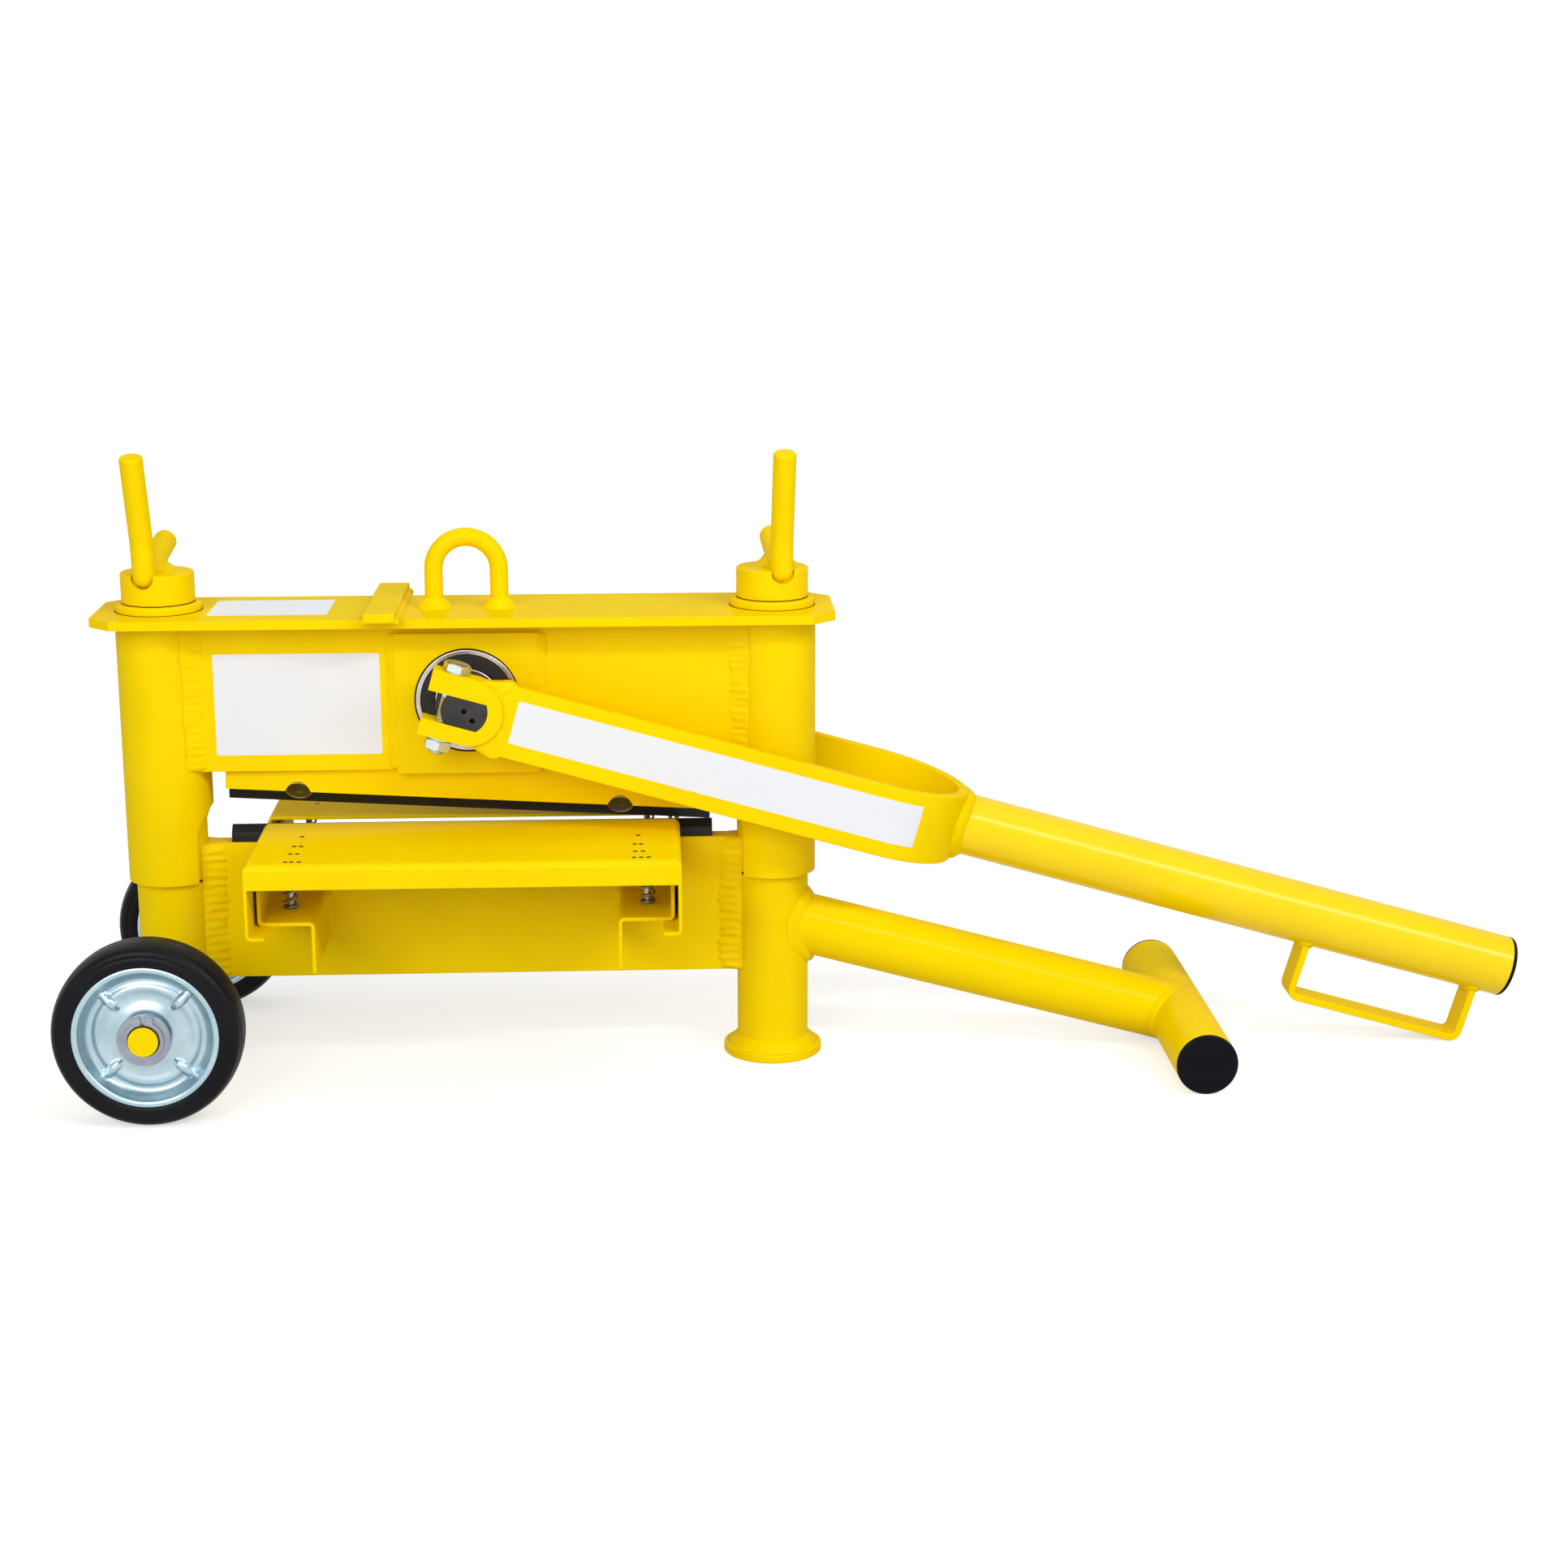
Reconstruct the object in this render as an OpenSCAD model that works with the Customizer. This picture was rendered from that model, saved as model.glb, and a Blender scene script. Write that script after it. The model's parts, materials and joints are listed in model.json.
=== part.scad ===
// Masonry block splitter: a lower beam between two round posts, a head that slides
// on the posts, an eccentric shaft turned by a long lever, two blades, two sprung
// tables, a pair of wheels and a tail stand. Millimetres, +Z up, +X to the lever end.

/* [Frame] */
// Distance between the axes of the two posts
post_spacing = 532; // [490:1:600]
// Outside diameter of a post
post_od = 63.5; // [58:0.1:70]
// Wall of a post
post_wall = 4; // [3:0.5:6]
// Gap between the top of a post and the top plate
post_gap = 10.7; // [8:0.1:14]
// Length of the left post below the axle axis
post_tail = 25; // [18:1:30]
// Thickness of the lower beam plate
beam_t = 20; // [15:1:24]
// Height of the bottom of the lower beam above the floor
beam_low = 79; // [70:1:90]
// Height of the lower beam plate
beam_h = 124; // [110:1:140]
// Overhang of the foot disc past the right post
foot_over = 12.25; // [8:0.25:18]
// Thickness of the foot disc
foot_t = 8; // [5:1:12]

/* [Tail stand] */
// Outside diameter of the tail tube and of its cross tube
tail_od = 54; // [45:0.5:60]
// Wall of the tail tubes
tail_wall = 3; // [2:0.5:5]
// Height of the tail joint on the right post above the bottom of the beam
tail_rise = 48; // [38:1:56]
// Distance from the cross tube axis to the foot of the hand grip
tail_gap = 96; // [60:0.2:140]
// Length of the cross tube over its end caps
cross_len = 284; // [220:1:340]
// Thickness of a tube end cap
cap_t = 4; // [3:0.5:8]

/* [Wheels] */
// Wheel diameter over the tyre
wheel_d = 160; // [140:1:180]
// Width of the tyre
tyre_w = 42; // [36:1:48]
// Distance from the middle plane to the middle of a wheel
wheel_y = 157; // [140:1:180]
// Depth of the tyre over the rim lip
tyre_deep = 18.5; // [12:0.5:24]
// Height of the rim lip over its well
rim_lip_h = 4.5; // [3:0.5:6]
// Sheet thickness of the rim
rim_t = 2.5; // [2:0.1:3]
// Outside diameter of the hub tube
hub_d = 38; // [34:1:42]
// Axle diameter
axle_d = 25; // [20:1:28]
// Length of the axle past a circlip
axle_end = 3.8; // [2:0.1:8]
// Radial running clearance of the hub on the axle
hub_play = 0.08; // [0.03:0.01:0.1]
// Diameter of the axle washers
washer_d = 45; // [42:1:50]
// Thickness of the axle washers
washer_t = 3; // [2:0.5:4]

/* [Blades] */
// Distance from a post axis to the end of both blades
blade_inset = 54; // [48:0.5:70]
// Width of the lower blade at its base
lower_blade_w = 16; // [12:1:19]
// Height of the lower blade
lower_blade_h = 14.5; // [12:0.5:18]
// Height of the square foot of the lower blade
lower_blade_foot = 8; // [6:0.5:10]
// Flat left on the ridge of both blades
ridge_w = 3; // [2:0.5:4]
// Width of the upper blade
upper_blade_w = 10; // [8:0.5:12]
// Height of the upper blade that shows below its beam
upper_blade_show = 13; // [11:0.5:13]
// Depth of the blade seat in its beam
upper_blade_seat = 5; // [4:0.5:6]
// Steel between the blade seat and the slot of the tongue
seat_floor = 2.133; // [2:0.001:6]
// Tilt of the upper blade at rest, right end low
rest_tilt = 3.25; // [2:0.05:4]
// Gap at rest between the low end of the upper blade and the ridge
blade_gap = 0.4; // [0.3:0.1:1]
// Length of the upper blade beam past each end of its blade
carrier_over = 1; // [0.5:0.5:4]
// Thickness of the upper blade beam
carrier_t = 40; // [36:0.5:40]
// Height of the upper blade beam above its pivot
carrier_up = 17.5; // [16.5:0.5:22]
// Diameter of the pivot pin
pivot_d = 16; // [13:0.5:19]
// Radial clearance of the pivot pin in the blade beam
pivot_play = 0.05; // [0.03:0.01:0.09]
// Diameter of a blade clamp screw head
screw_head_d = 24; // [20:0.5:24]
// Height of a blade clamp screw head
screw_head_h = 2.4; // [2:0.1:2.4]
// Distance of the left clamp screw from the left end of the blade
screw_left_in = 62; // [40:1:90]
// Distance of the right clamp screw from the right end of the blade
screw_right_in = 80; // [40:1:110]

/* [Head] */
// Radial space for the guide bushes between a post and its sleeve
bush_space = 1.3; // [1:0.1:2]
// Wall of a sleeve
sleeve_wall = 5; // [4:0.1:6]
// Depth of the sleeves below the top of the lower beam at rest
sleeve_drop = 32; // [26:1:38]
// Width of the slot in a sleeve that passes the lower beam
slot_w = 54; // [44:1:58]
// Height of the round top of the sleeve slot above the lower beam
slot_rise = 34; // [30:1:36]
// Radial clearance of the guide bushes on the posts
guide_play = 0.2; // [0.1:0.05:0.45]
// Distance from the middle plane to the inner face of a side plate
side_in = 20.5; // [20.5:0.5:24]
// Thickness of a side plate
side_t = 6; // [5:0.5:8]
// Height of a side plate below the bearing bore
side_margin = 17.7; // [13:0.1:20]
// Distance from a post axis to the end of a side plate
side_setback = 27; // [25:0.5:28]
// Width of a bearing plate beside the bearing bore
bearing_margin_x = 17; // [12:0.5:24]
// Height of a bearing plate below the bearing bore
bearing_margin_low = 20.4; // [16:0.1:24]
// Height of a bearing plate above the bearing bore
bearing_margin_high = 14; // [11:0.5:20]
// Thickness of a bearing plate
bearing_plate_t = 6; // [5:0.5:8]
// Gap between a bearing plate and the top plate
head_gap = 9.5; // [6:0.1:14]
// Overhang of the top plate past a post axis
top_over = 53; // [44:1:64]
// Depth of the top plate
top_depth = 119; // [100:1:124]
// Thickness of the top plate
top_t = 8; // [6:0.5:10]
// Corner cut of the top plate
top_corner = 20; // [12:1:26]
// Bar diameter of the lifting eye
eye_bar = 16; // [12:0.5:20]
// Bend radius of the lifting eye to the bar axis
eye_bend = 28.3; // [22:0.1:34]
// Height of the straight legs of the lifting eye
eye_leg = 33; // [20:1:40]
// Width of the lever stop bar
stop_w = 27; // [20:1:32]
// Thickness of the lever stop bar
stop_t = 8.3; // [6:0.1:8.3]
// Position of the middle of the lever stop bar
stop_x = -69.5; // [-82:0.5:-60]

/* [Height locks] */
// Diameter of a lock collar
collar_d = 63; // [54:0.5:72]
// Height of a lock collar
collar_h = 26; // [20:0.5:30]
// Gap between a lock collar and its ring
collar_gap = 0.4; // [0.3:0.1:1]
// Diameter of a lock ring
lock_ring_d = 74.2; // [66:0.1:84]
// Height of a lock ring
lock_ring_h = 7; // [5:0.5:9]
// Diameter of a lock rod
lock_rod_d = 30; // [25:1:35]
// Radial running clearance of a lock rod
lock_play = 0.08; // [0.03:0.01:0.1]
// Length of a lock rod below its collar
lock_rod_len = 212.1; // [190:0.1:240]
// Diameter of the lock handle bar
handle_d = 20; // [16:0.5:23]
// Length of the lock handle grip from the elbow
handle_grip = 109; // [90:1:125]
// Length of the lock handle stub from the elbow
handle_stub = 78; // [60:1:78]
// Bend of the lock handle inside its bar
handle_inner = 2; // [1:0.5:6]
// Forward lean of the lock handle grip
handle_lean = 14.5; // [10:0.1:18]
// Distance of the lock handles past their post axes
handle_side = 5.9; // [2:0.1:8]
// Turn of the lock handles at rest
lock_yaw = 4.5; // [0:0.5:10]

/* [Lever] */
// Lever angle below level at rest
lever_angle = 15.9; // [13:0.1:15.9]
// Distance from the shaft axis to the end of the lever
lever_reach = 977; // [860:1:981]
// Outside diameter of the lever tube
lever_od = 55; // [45:0.5:58]
// Wall of the lever tube
lever_wall = 3; // [2:0.5:5]
// Height of the yoke bar
yoke_h = 63; // [58:1:66]
// Thickness of the yoke bar
yoke_t = 10; // [8:0.5:12]
// Setback of the yoke from the outer face of a fork
yoke_set = 4.5; // [3:0.5:6]
// Room along the lever between the right sleeve and the yoke bend centre
yoke_clear = 58.86; // [50:0.01:80]
// Shaft diameter
shaft_d = 40; // [34:1:46]
// Throw of the eccentric
throw = 10; // [8:0.5:12]
// Least wall of the eccentric round the shaft
ecc_wall = 1; // [0.5:0.1:2]
// Direction of the eccentric at rest
ecc_angle = -55; // [-58:1:-52]
// Lever swing up to the stop bar
lever_swing = 120; // [110:1:120]
// Distance across the flats at the shaft ends
shaft_flat = 25; // [21:0.5:28]
// Length of the shaft collar between a bearing and a fork
spacer_len = 24.5; // [20:0.5:30]
// Thickness of a fork
fork_t = 22; // [20:0.5:26]
// Clamp bolt diameter
clamp_bolt_d = 14; // [12:1:16]
// Distance of the clamp bolt axis behind the shaft axis
clamp_bolt_s = 15; // [13:0.5:17]
// Length of the lever past the hand grip
grip_end = 24; // [10:1:40]
// Length of the hand grip
grip_len = 168.5; // [150:0.5:200]
// Depth of the hand grip below the lever axis
grip_deep = 78; // [66:1:78]
// Thickness of the hand grip bar
grip_t = 6.5; // [5:0.5:8]
// Width of the hand grip bar
grip_w = 30; // [24:1:36]

/* [Bearings] */
// Bearing outside diameter
bearing_od = 90; // [80:1:100]
// Bearing width
bearing_w = 12.5; // [10:0.5:12.5]
// Thickness of the outer race
race_out_t = 5.5; // [4.5:0.5:7]
// Thickness of the inner race
race_in_t = 8; // [6:0.5:9]

/* [Pressure block] */
// Half width of the pressure block
block_half = 58; // [50:0.5:66]
// Thickness of the pressure block
block_t = 40; // [36:0.5:40]
// Wall under and over the eccentric window
block_wall = 10; // [9:0.1:12]
// Gap between the pressure block and the tilted blade beam
block_gap = 1.5; // [1:0.01:4]
// Clearance under the eccentric at rest
window_under = 0.7; // [0.7:0.1:1]
// Clearance over the eccentric at rest
window_over = 1.4; // [1.4:0.1:2]
// Clearance of the pressure block in its guides
block_play = 0.25; // [0.1:0.05:0.4]
// Width of a block guide bar
guide_bar_w = 12; // [8:0.5:14]

/* [Tables] */
// Distance from the end of the blades to the end of a table
table_inset = 29; // [20:0.5:40]
// Height of the table top over the lower beam
table_rise = 17.5; // [15:0.5:20]
// Gap between a table and the lower beam
table_gap = 1.5; // [1:0.5:4]
// Depth of a table
table_w = 140.5; // [120:0.5:160]
// Sheet thickness of tables and brackets
sheet_t = 3; // [2.5:0.1:3.5]
// Height of the long table flange
table_lip = 21.5; // [15:0.5:25]
// Gap between the table hooks and the bracket web
hook_gap = 0.3; // [0.2:0.1:1]
// Width of the lips under the end flanges
table_hook = 16; // [12:0.5:18]
// Downward travel of a table
table_travel = 10; // [6:0.5:12]
// Setback of a bracket from the outer edge of its table
bracket_set = 34; // [20:1:50]
// Gap between a bracket and the end flange of its table
bracket_gap = 3; // [1:0.5:4]
// Width of a bracket over both legs
bracket_w = 48; // [40:0.5:60]
// Depth of the underside of the bracket web below the table top
bracket_drop = 62.5; // [52:0.5:72]
// Length of the bracket leg below the web
bracket_leg = 42; // [30:1:55]
// Distance from the outer face of a bracket to its spring axis
spring_inset = 23; // [16:0.5:28]
// Position of a table spring across the table
spring_y = 74; // [60:1:90]
// Wire diameter of the table springs
wire_d = 2; // [1.5:0.1:2.4]
// Outside diameter of the table springs
spring_od = 14; // [13:0.5:16]
// Number of curls of a table spring
spring_curls = 9; // [7:1:10]
// Table guide bolt diameter
guide_bolt_d = 6; // [5:0.5:7]

/* [Hidden] */
$fn = 96;
over = 1;
paint = [1.0, 0.83, 0.0];
dark = [0.08, 0.08, 0.09];
steel = [0.62, 0.64, 0.66];
zinc = [0.62, 0.70, 0.76];
bush_grey = [0.85, 0.84, 0.78];

// Frame and blades, built up from the floor
post_x = post_spacing / 2;
post_id = post_od - 2 * post_wall;
foot_d = post_od + 2 * foot_over;
beam_high = beam_low + beam_h;
wheel_z = wheel_d / 2;
left_post_low = wheel_z - post_tail;
half_blade = post_x - blade_inset;
blade_len = 2 * half_blade;
carrier_len = blade_len + 2 * carrier_over;
ridge_z = beam_high + lower_blade_h;
tongue_wall = 3;
tongue_gap = 1;
tongue_t = 18;
tongue_r = pivot_d / 2 + tongue_wall;
slot_play = 0.5;
carrier_slot_half = 2 * tongue_r;
carrier_slot_deep = tongue_r + tongue_gap;
carrier_down = carrier_slot_deep + seat_floor + upper_blade_seat;
seat_up = carrier_down - upper_blade_seat;
edge_drop = carrier_down + upper_blade_show;
pivot_z = ridge_z + blade_gap + half_blade * sin(rest_tilt) + edge_drop * cos(rest_tilt);
pin_short = 0.2;
screw_tilt = 41;
screw_back = 7.6;
screw_low = 1.5;
screw_play = 0.7;
screw_bore = screw_head_d + 2 * screw_play;
screw_shank_d = 8;
screw_shank_len = 3.5;
screw_socket = 8;
screw_left_x = -half_blade + screw_left_in;
screw_right_x = half_blade - screw_right_in;

// Pressure block, eccentric and shaft
ecc_d = shaft_d + 2 * throw + 2 * ecc_wall;
ecc_x = throw * cos(ecc_angle);
ecc_z = throw * sin(ecc_angle);
ecc_half = block_t / 2;
lift = throw * (sin(ecc_angle + lever_swing) - sin(ecc_angle));
block_low = pivot_z + carrier_up / cos(rest_tilt) + block_half * tan(rest_tilt) + block_gap;
window_low = block_low + block_wall;
shaft_z = window_low + window_under + ecc_d / 2 - ecc_z;
window_high = shaft_z + ecc_z + ecc_d / 2 + window_over;
window_side = 2;
window_half = throw + ecc_d / 2 + window_side;
block_high = window_high + block_wall;

// Head
side_half = post_x - side_setback;
side_out = side_in + side_t;
side_low = shaft_z - bearing_od / 2 - side_margin;
bearing_plate_w = bearing_od + 2 * bearing_margin_x;
bearing_plate_low = shaft_z - bearing_od / 2 - bearing_margin_low;
bearing_plate_high = shaft_z + bearing_od / 2 + bearing_margin_high;
bearing_face = side_out + bearing_plate_t;
bearing_proud = 0.5;
bearing_out = bearing_face + bearing_proud;
bearing_in = bearing_out - bearing_w;
race_out_id = bearing_od - 2 * race_out_t;
race_in_od = shaft_d + 2 * race_in_t;
race_bevel = 1;
seal_t = 2;
seal_set = 1;
seal_gap = 0.5;
head_z = bearing_plate_high + head_gap;
head_top = head_z + top_t;
top_len = post_spacing + 2 * top_over;
post_top = head_z - post_gap;
sleeve_id = post_od + 2 * bush_space;
sleeve_od = sleeve_id + 2 * sleeve_wall;
sleeve_low = beam_high - sleeve_drop;
slot_high = beam_high + slot_rise;
bush_id = post_od + 2 * guide_play;
bush_inset = 5;
bush_lip = 6;
bush_rise = 25;
bush_len = 38;
bush_low = [sleeve_low + bush_inset, slot_high + bush_rise];
bush_high = [slot_high - bush_lip, slot_high + bush_rise + bush_len];
guide_bar_rise = 44;
guide_bar_over = 6.3;
guide_bar_low = pivot_z + guide_bar_rise;
guide_bar_high = block_high + lift + guide_bar_over;

// Height locks
ring_top = head_top + lock_ring_h;
ring_bevel = 1.5;
collar_low = ring_top + collar_gap;
collar_top = collar_low + collar_h;
collar_bevel = 1;
rod_hole = lock_rod_d + 2 * lock_play;
rod_flange_over = 7;
rod_flange_d = lock_rod_d + 2 * rod_flange_over;
rod_flange_t = 4;
rod_flange_gap = 2.2;
rod_flange_z = head_z - rod_flange_gap - rod_flange_t;
lock_rod_low = collar_low - lock_rod_len;
tooth_pitch = 14;
tooth_gap = 6;
tooth_deep = 3;
tooth_count = 11;
keeper_t = 16;
keeper_play = 0.75;
keeper_id = lock_rod_d + 2 * keeper_play;
handle_bend = handle_d / 2 + handle_inner;
elbow_y = -15.6;
elbow_rise = -1.2;
elbow_z = collar_top + elbow_rise;

// Lever
spacer_over = 6;
spacer_d = shaft_d + 2 * spacer_over;
spacer_gap = 0.5;
fork_in = bearing_out + spacer_gap + spacer_len;
fork_out = fork_in + fork_t;
fork_mid = (fork_in + fork_out) / 2;
fork_step = 2.5;
fork_h = yoke_h - 2 * fork_step;
fork_r = fork_h / 2;
fork_c = 4;
fork_tail = 34;
flat_play = 0.1;
slot_drop = 2;
fork_slot = shaft_flat + 2 * flat_play;
slot_low = -slot_drop - fork_slot / 2;
bolt_head_h = 8.8;
bolt_af = 21;
bolt_hex = bolt_af / cos(30);
bolt_nut_h = 11;
bolt_end = 4;
bolt_play = 0.25;
bolt_hole = clamp_bolt_d + 2 * bolt_play;
notch_play = 0.4;
groove_half = clamp_bolt_d / 2 + notch_play;
shaft_notch = clamp_bolt_s - groove_half;
yoke_out = fork_out - yoke_set;
yoke_in = yoke_out - yoke_t;
yoke_bend_s = (post_x + sleeve_od / 2) / cos(lever_angle) + yoke_clear;
arm_lap = 3;
arm_s0 = fork_c + fork_r - arm_lap;
stop_len = 2 * fork_out;
grip_s1 = lever_reach - grip_end;
grip_s0 = grip_s1 - grip_len;
grip_round = 11;

// Tail stand, placed from the foot of the hand grip
tail_z = tail_od / 2;
tail_high = beam_low + tail_rise;
tail_reach = grip_s0 * cos(lever_angle) - grip_deep * sin(lever_angle) - tail_gap;
tail_tilt = atan((tail_high - tail_z) / (tail_reach - post_x));
tail_len = (tail_reach - post_x) / cos(tail_tilt);

// Middle of the whole machine along X
x_low = -post_x - wheel_d / 2;
x_high = lever_reach * cos(lever_angle) + lever_od / 2 * sin(lever_angle);
x_mid = (x_low + x_high) / 2;

// Tables, brackets and springs
table_len = blade_len - 2 * table_inset;
table_half = table_len / 2;
table_z = beam_high + table_rise;
table_under = table_z - sheet_t;
table_in = beam_t / 2 + table_gap;
table_out = table_in + table_w;
table_round = 6;
bracket_out = table_out - bracket_set;
bracket_x1 = table_half - sheet_t - bracket_gap;
bracket_x0 = bracket_x1 - bracket_w;
bracket_web = table_z - bracket_drop;
bracket_low = bracket_web - bracket_leg;
bracket_clear = 1;
bracket_top = table_under - table_travel - bracket_clear;
bracket_bend = 5;
web_top = bracket_web + sheet_t;
hook_z = bracket_web - hook_gap - sheet_t;
spring_x = bracket_x1 - spring_inset;
stud_head_h = 3.3;
stud_af = 10;
stud_hex = stud_af / cos(30);
stud_clear = 2;
stud_top = table_under - table_travel - stud_clear;
spring_r = (spring_od - wire_d) / 2;
spring_len = table_under - web_top;
spring_sides = 6;
spring_rings = 8;

// Wheels
rim_d = wheel_d - 2 * tyre_deep;
rim_well_d = rim_d - 2 * rim_lip_h;
groove_deep = 1;
groove_d = axle_d - 2 * groove_deep;
clip_t = 1.8;
clip_rim = 4.5;
clip_d = axle_d + 2 * clip_rim;
clip_gap = 3;
lug_d = 8;
lug_x = 5;
hub_proud = 1;
hub_half = tyre_w / 2 + hub_proud;
hub_end_gap = 0.4;
hub_out = wheel_y + hub_half + hub_end_gap;
hub_in = wheel_y - hub_half - hub_end_gap;
axle_len = 2 * (hub_out + washer_t + clip_t + axle_end);
rim_lip = 2.5;
rim_set = 1.5;
rim_lip_y = tyre_w / 2 - rim_set;
rim_disc_y = 8;
rim_flare = 2;
rim_fold = 3;
rim_boss = 9;
rim_boss_rise = 5;
rim_thin = 1;
tyre_shares = [[0.11, 0.975], [0.27, 1], [0.51, 1], [0.73, 0.925], [0.88, 0.785], [0.96, 0.57], [1, 0.285]];
cap_bevel = 1.5;
plug_len = 14;
plug_wall = 2;
plug_floor = 2;

// Shared placing: the middle of the whole machine is at X 0
module place() { translate([-x_mid, 0, 0]) children(); }

// Round bar along Y between two stations
module bar_y(d, y0, y1) { translate([0, y0, 0]) rotate([-90, 0, 0]) cylinder(d = d, h = y1 - y0); }

// Frame of the lever: X runs along the lever, Z square to it
module lever_frame() { place() translate([0, 0, shaft_z]) rotate([0, lever_angle, 0]) children(); }

// Frame of the upper blade beam: origin on the pivot, tilted as it rests
module carrier_frame() { place() translate([0, 0, pivot_z]) rotate([0, rest_tilt, 0]) children(); }

// Front and rear copies
module both_y() { children(); mirror([0, 1, 0]) children(); }

// Left and right copies
module both_x() { children(); mirror([1, 0, 0]) children(); }

module post_solid(x, low) {
  translate([x, 0, low]) difference() {
    cylinder(d = post_od, h = post_top - low);
    translate([0, 0, -over]) cylinder(d = post_id, h = post_top - low + 2 * over);
  }
}

module lower_beam() {
  color(paint) place() difference() {
    translate([-post_x, -beam_t / 2, beam_low]) cube([post_spacing, beam_t, beam_high - beam_low]);
    for (s = [-1, 1]) translate([s * post_x, 0, 0]) cylinder(d = post_od, h = head_z);
  }
}

module left_post() {
  color(paint) place() difference() {
    post_solid(-post_x, left_post_low);
    translate([-post_x, 0, wheel_z]) bar_y(axle_d, -post_od, post_od);
  }
}

module right_post() { color(paint) place() post_solid(post_x, foot_t); }

module foot_disc() { color(paint) place() translate([post_x, 0, 0]) cylinder(d = foot_d, h = foot_t); }

module tail_path(d, extra) {
  translate([post_x, 0, tail_high]) rotate([0, 90 + tail_tilt, 0])
    translate([0, 0, -extra]) cylinder(d = d, h = tail_len + 2 * extra);
}

module tail_tube() {
  color(paint) place() difference() {
    tail_path(tail_od, 0);
    tail_path(tail_od - 2 * tail_wall, over);
    translate([post_x, 0, 0]) cylinder(d = post_od, h = head_z);
    translate([tail_reach, 0, tail_z]) bar_y(tail_od, -cross_len, cross_len);
  }
}

module tail_cross_tube() {
  color(paint) place() translate([tail_reach, 0, tail_z]) difference() {
    bar_y(tail_od, -cross_len / 2 + cap_t, cross_len / 2 - cap_t);
    bar_y(tail_od - 2 * tail_wall, -cross_len, cross_len);
  }
}

module end_cap(od, wall) {
  plug_d = od - 2 * wall;
  rotate_extrude() polygon([
    [0, 0], [od / 2, 0], [od / 2, cap_t - cap_bevel], [od / 2 - cap_bevel, cap_t], [0, cap_t]
  ]);
  translate([0, 0, -plug_len]) difference() {
    cylinder(d = plug_d, h = plug_len);
    translate([0, 0, -over]) cylinder(d = plug_d - 2 * plug_wall, h = plug_len - plug_floor + over);
  }
}

module tail_end_caps() {
  color(dark) place() translate([tail_reach, 0, tail_z]) both_y()
    translate([0, -cross_len / 2 + cap_t, 0]) rotate([90, 0, 0]) end_cap(tail_od, tail_wall);
}

module wheel_axle() {
  color(paint) place() translate([-post_x, 0, wheel_z]) difference() {
    bar_y(axle_d, -axle_len / 2, axle_len / 2);
    both_y() translate([0, -hub_out - washer_t - clip_t, 0]) difference() {
      bar_y(axle_d + 2 * over, 0, clip_t);
      bar_y(groove_d, -over, clip_t + over);
    }
  }
}

module washer(y0) {
  translate([0, y0, 0]) difference() {
    bar_y(washer_d, 0, washer_t);
    bar_y(axle_d, -over, washer_t + over);
  }
}

module axle_washers() {
  color(zinc) place() translate([-post_x, 0, wheel_z]) both_y() {
    washer(-hub_out - washer_t);
    washer(-hub_in);
  }
}

module axle_circlips() {
  color(steel) place() translate([-post_x, 0, wheel_z]) both_y()
    translate([0, -hub_out - washer_t - clip_t, 0]) difference() {
      union() {
        bar_y(clip_d, 0, clip_t);
        for (s = [-1, 1]) translate([s * lug_x, 0, clip_d / 2]) bar_y(lug_d, 0, clip_t);
      }
      bar_y(groove_d, -over, clip_t + over);
      translate([-clip_gap / 2, -over, 0]) cube([clip_gap, clip_t + 2 * over, clip_d]);
    }
}

module lower_blade() {
  h = ridge_z - beam_high;
  color(dark) place() translate([-half_blade, 0, beam_high]) rotate([90, 0, 90]) linear_extrude(height = blade_len)
    polygon([
      [-lower_blade_w / 2, 0], [lower_blade_w / 2, 0], [lower_blade_w / 2, lower_blade_foot],
      [ridge_w / 2, h], [-ridge_w / 2, h], [-lower_blade_w / 2, lower_blade_foot]
    ]);
}

// Folded bracket at the front right: up leg, web and down leg in one sheet
module bracket() {
  r = bracket_bend;
  ri = r - sheet_t;
  difference() {
    translate([0, -beam_t / 2, 0]) rotate([90, 0, 0]) linear_extrude(height = bracket_out - beam_t / 2) {
      translate([bracket_x1 - sheet_t, bracket_web + r]) square([sheet_t, bracket_top - bracket_web - r]);
      translate([bracket_x1 - r, bracket_web + r]) difference() {
        circle(r = r);
        circle(r = ri);
        translate([-2 * r, -2 * r]) square([2 * r, 4 * r]);
        translate([-2 * r, 0]) square([4 * r, 2 * r]);
      }
      translate([bracket_x0 + r, bracket_web]) square([bracket_x1 - bracket_x0 - 2 * r, sheet_t]);
      translate([bracket_x0 + r, web_top - r]) difference() {
        circle(r = r);
        circle(r = ri);
        translate([0, -2 * r]) square([2 * r, 4 * r]);
        translate([-2 * r, -2 * r]) square([4 * r, 2 * r]);
      }
      translate([bracket_x0, bracket_low]) square([sheet_t, web_top - r - bracket_low]);
    }
    translate([spring_x, -spring_y, bracket_web - over]) cylinder(d = guide_bolt_d, h = sheet_t + 2 * over);
  }
}

module front_table_brackets() { color(paint) place() both_x() bracket(); }

module rear_table_brackets() { color(paint) place() mirror([0, 1, 0]) both_x() bracket(); }

module table_guide_bolts() {
  color(steel) place() both_y() both_x() translate([spring_x, -spring_y, 0]) {
    translate([0, 0, bracket_web - stud_head_h]) cylinder(d = stud_hex, h = stud_head_h, $fn = 6);
    translate([0, 0, bracket_web]) cylinder(d = guide_bolt_d, h = stud_top - bracket_web);
  }
}

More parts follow.
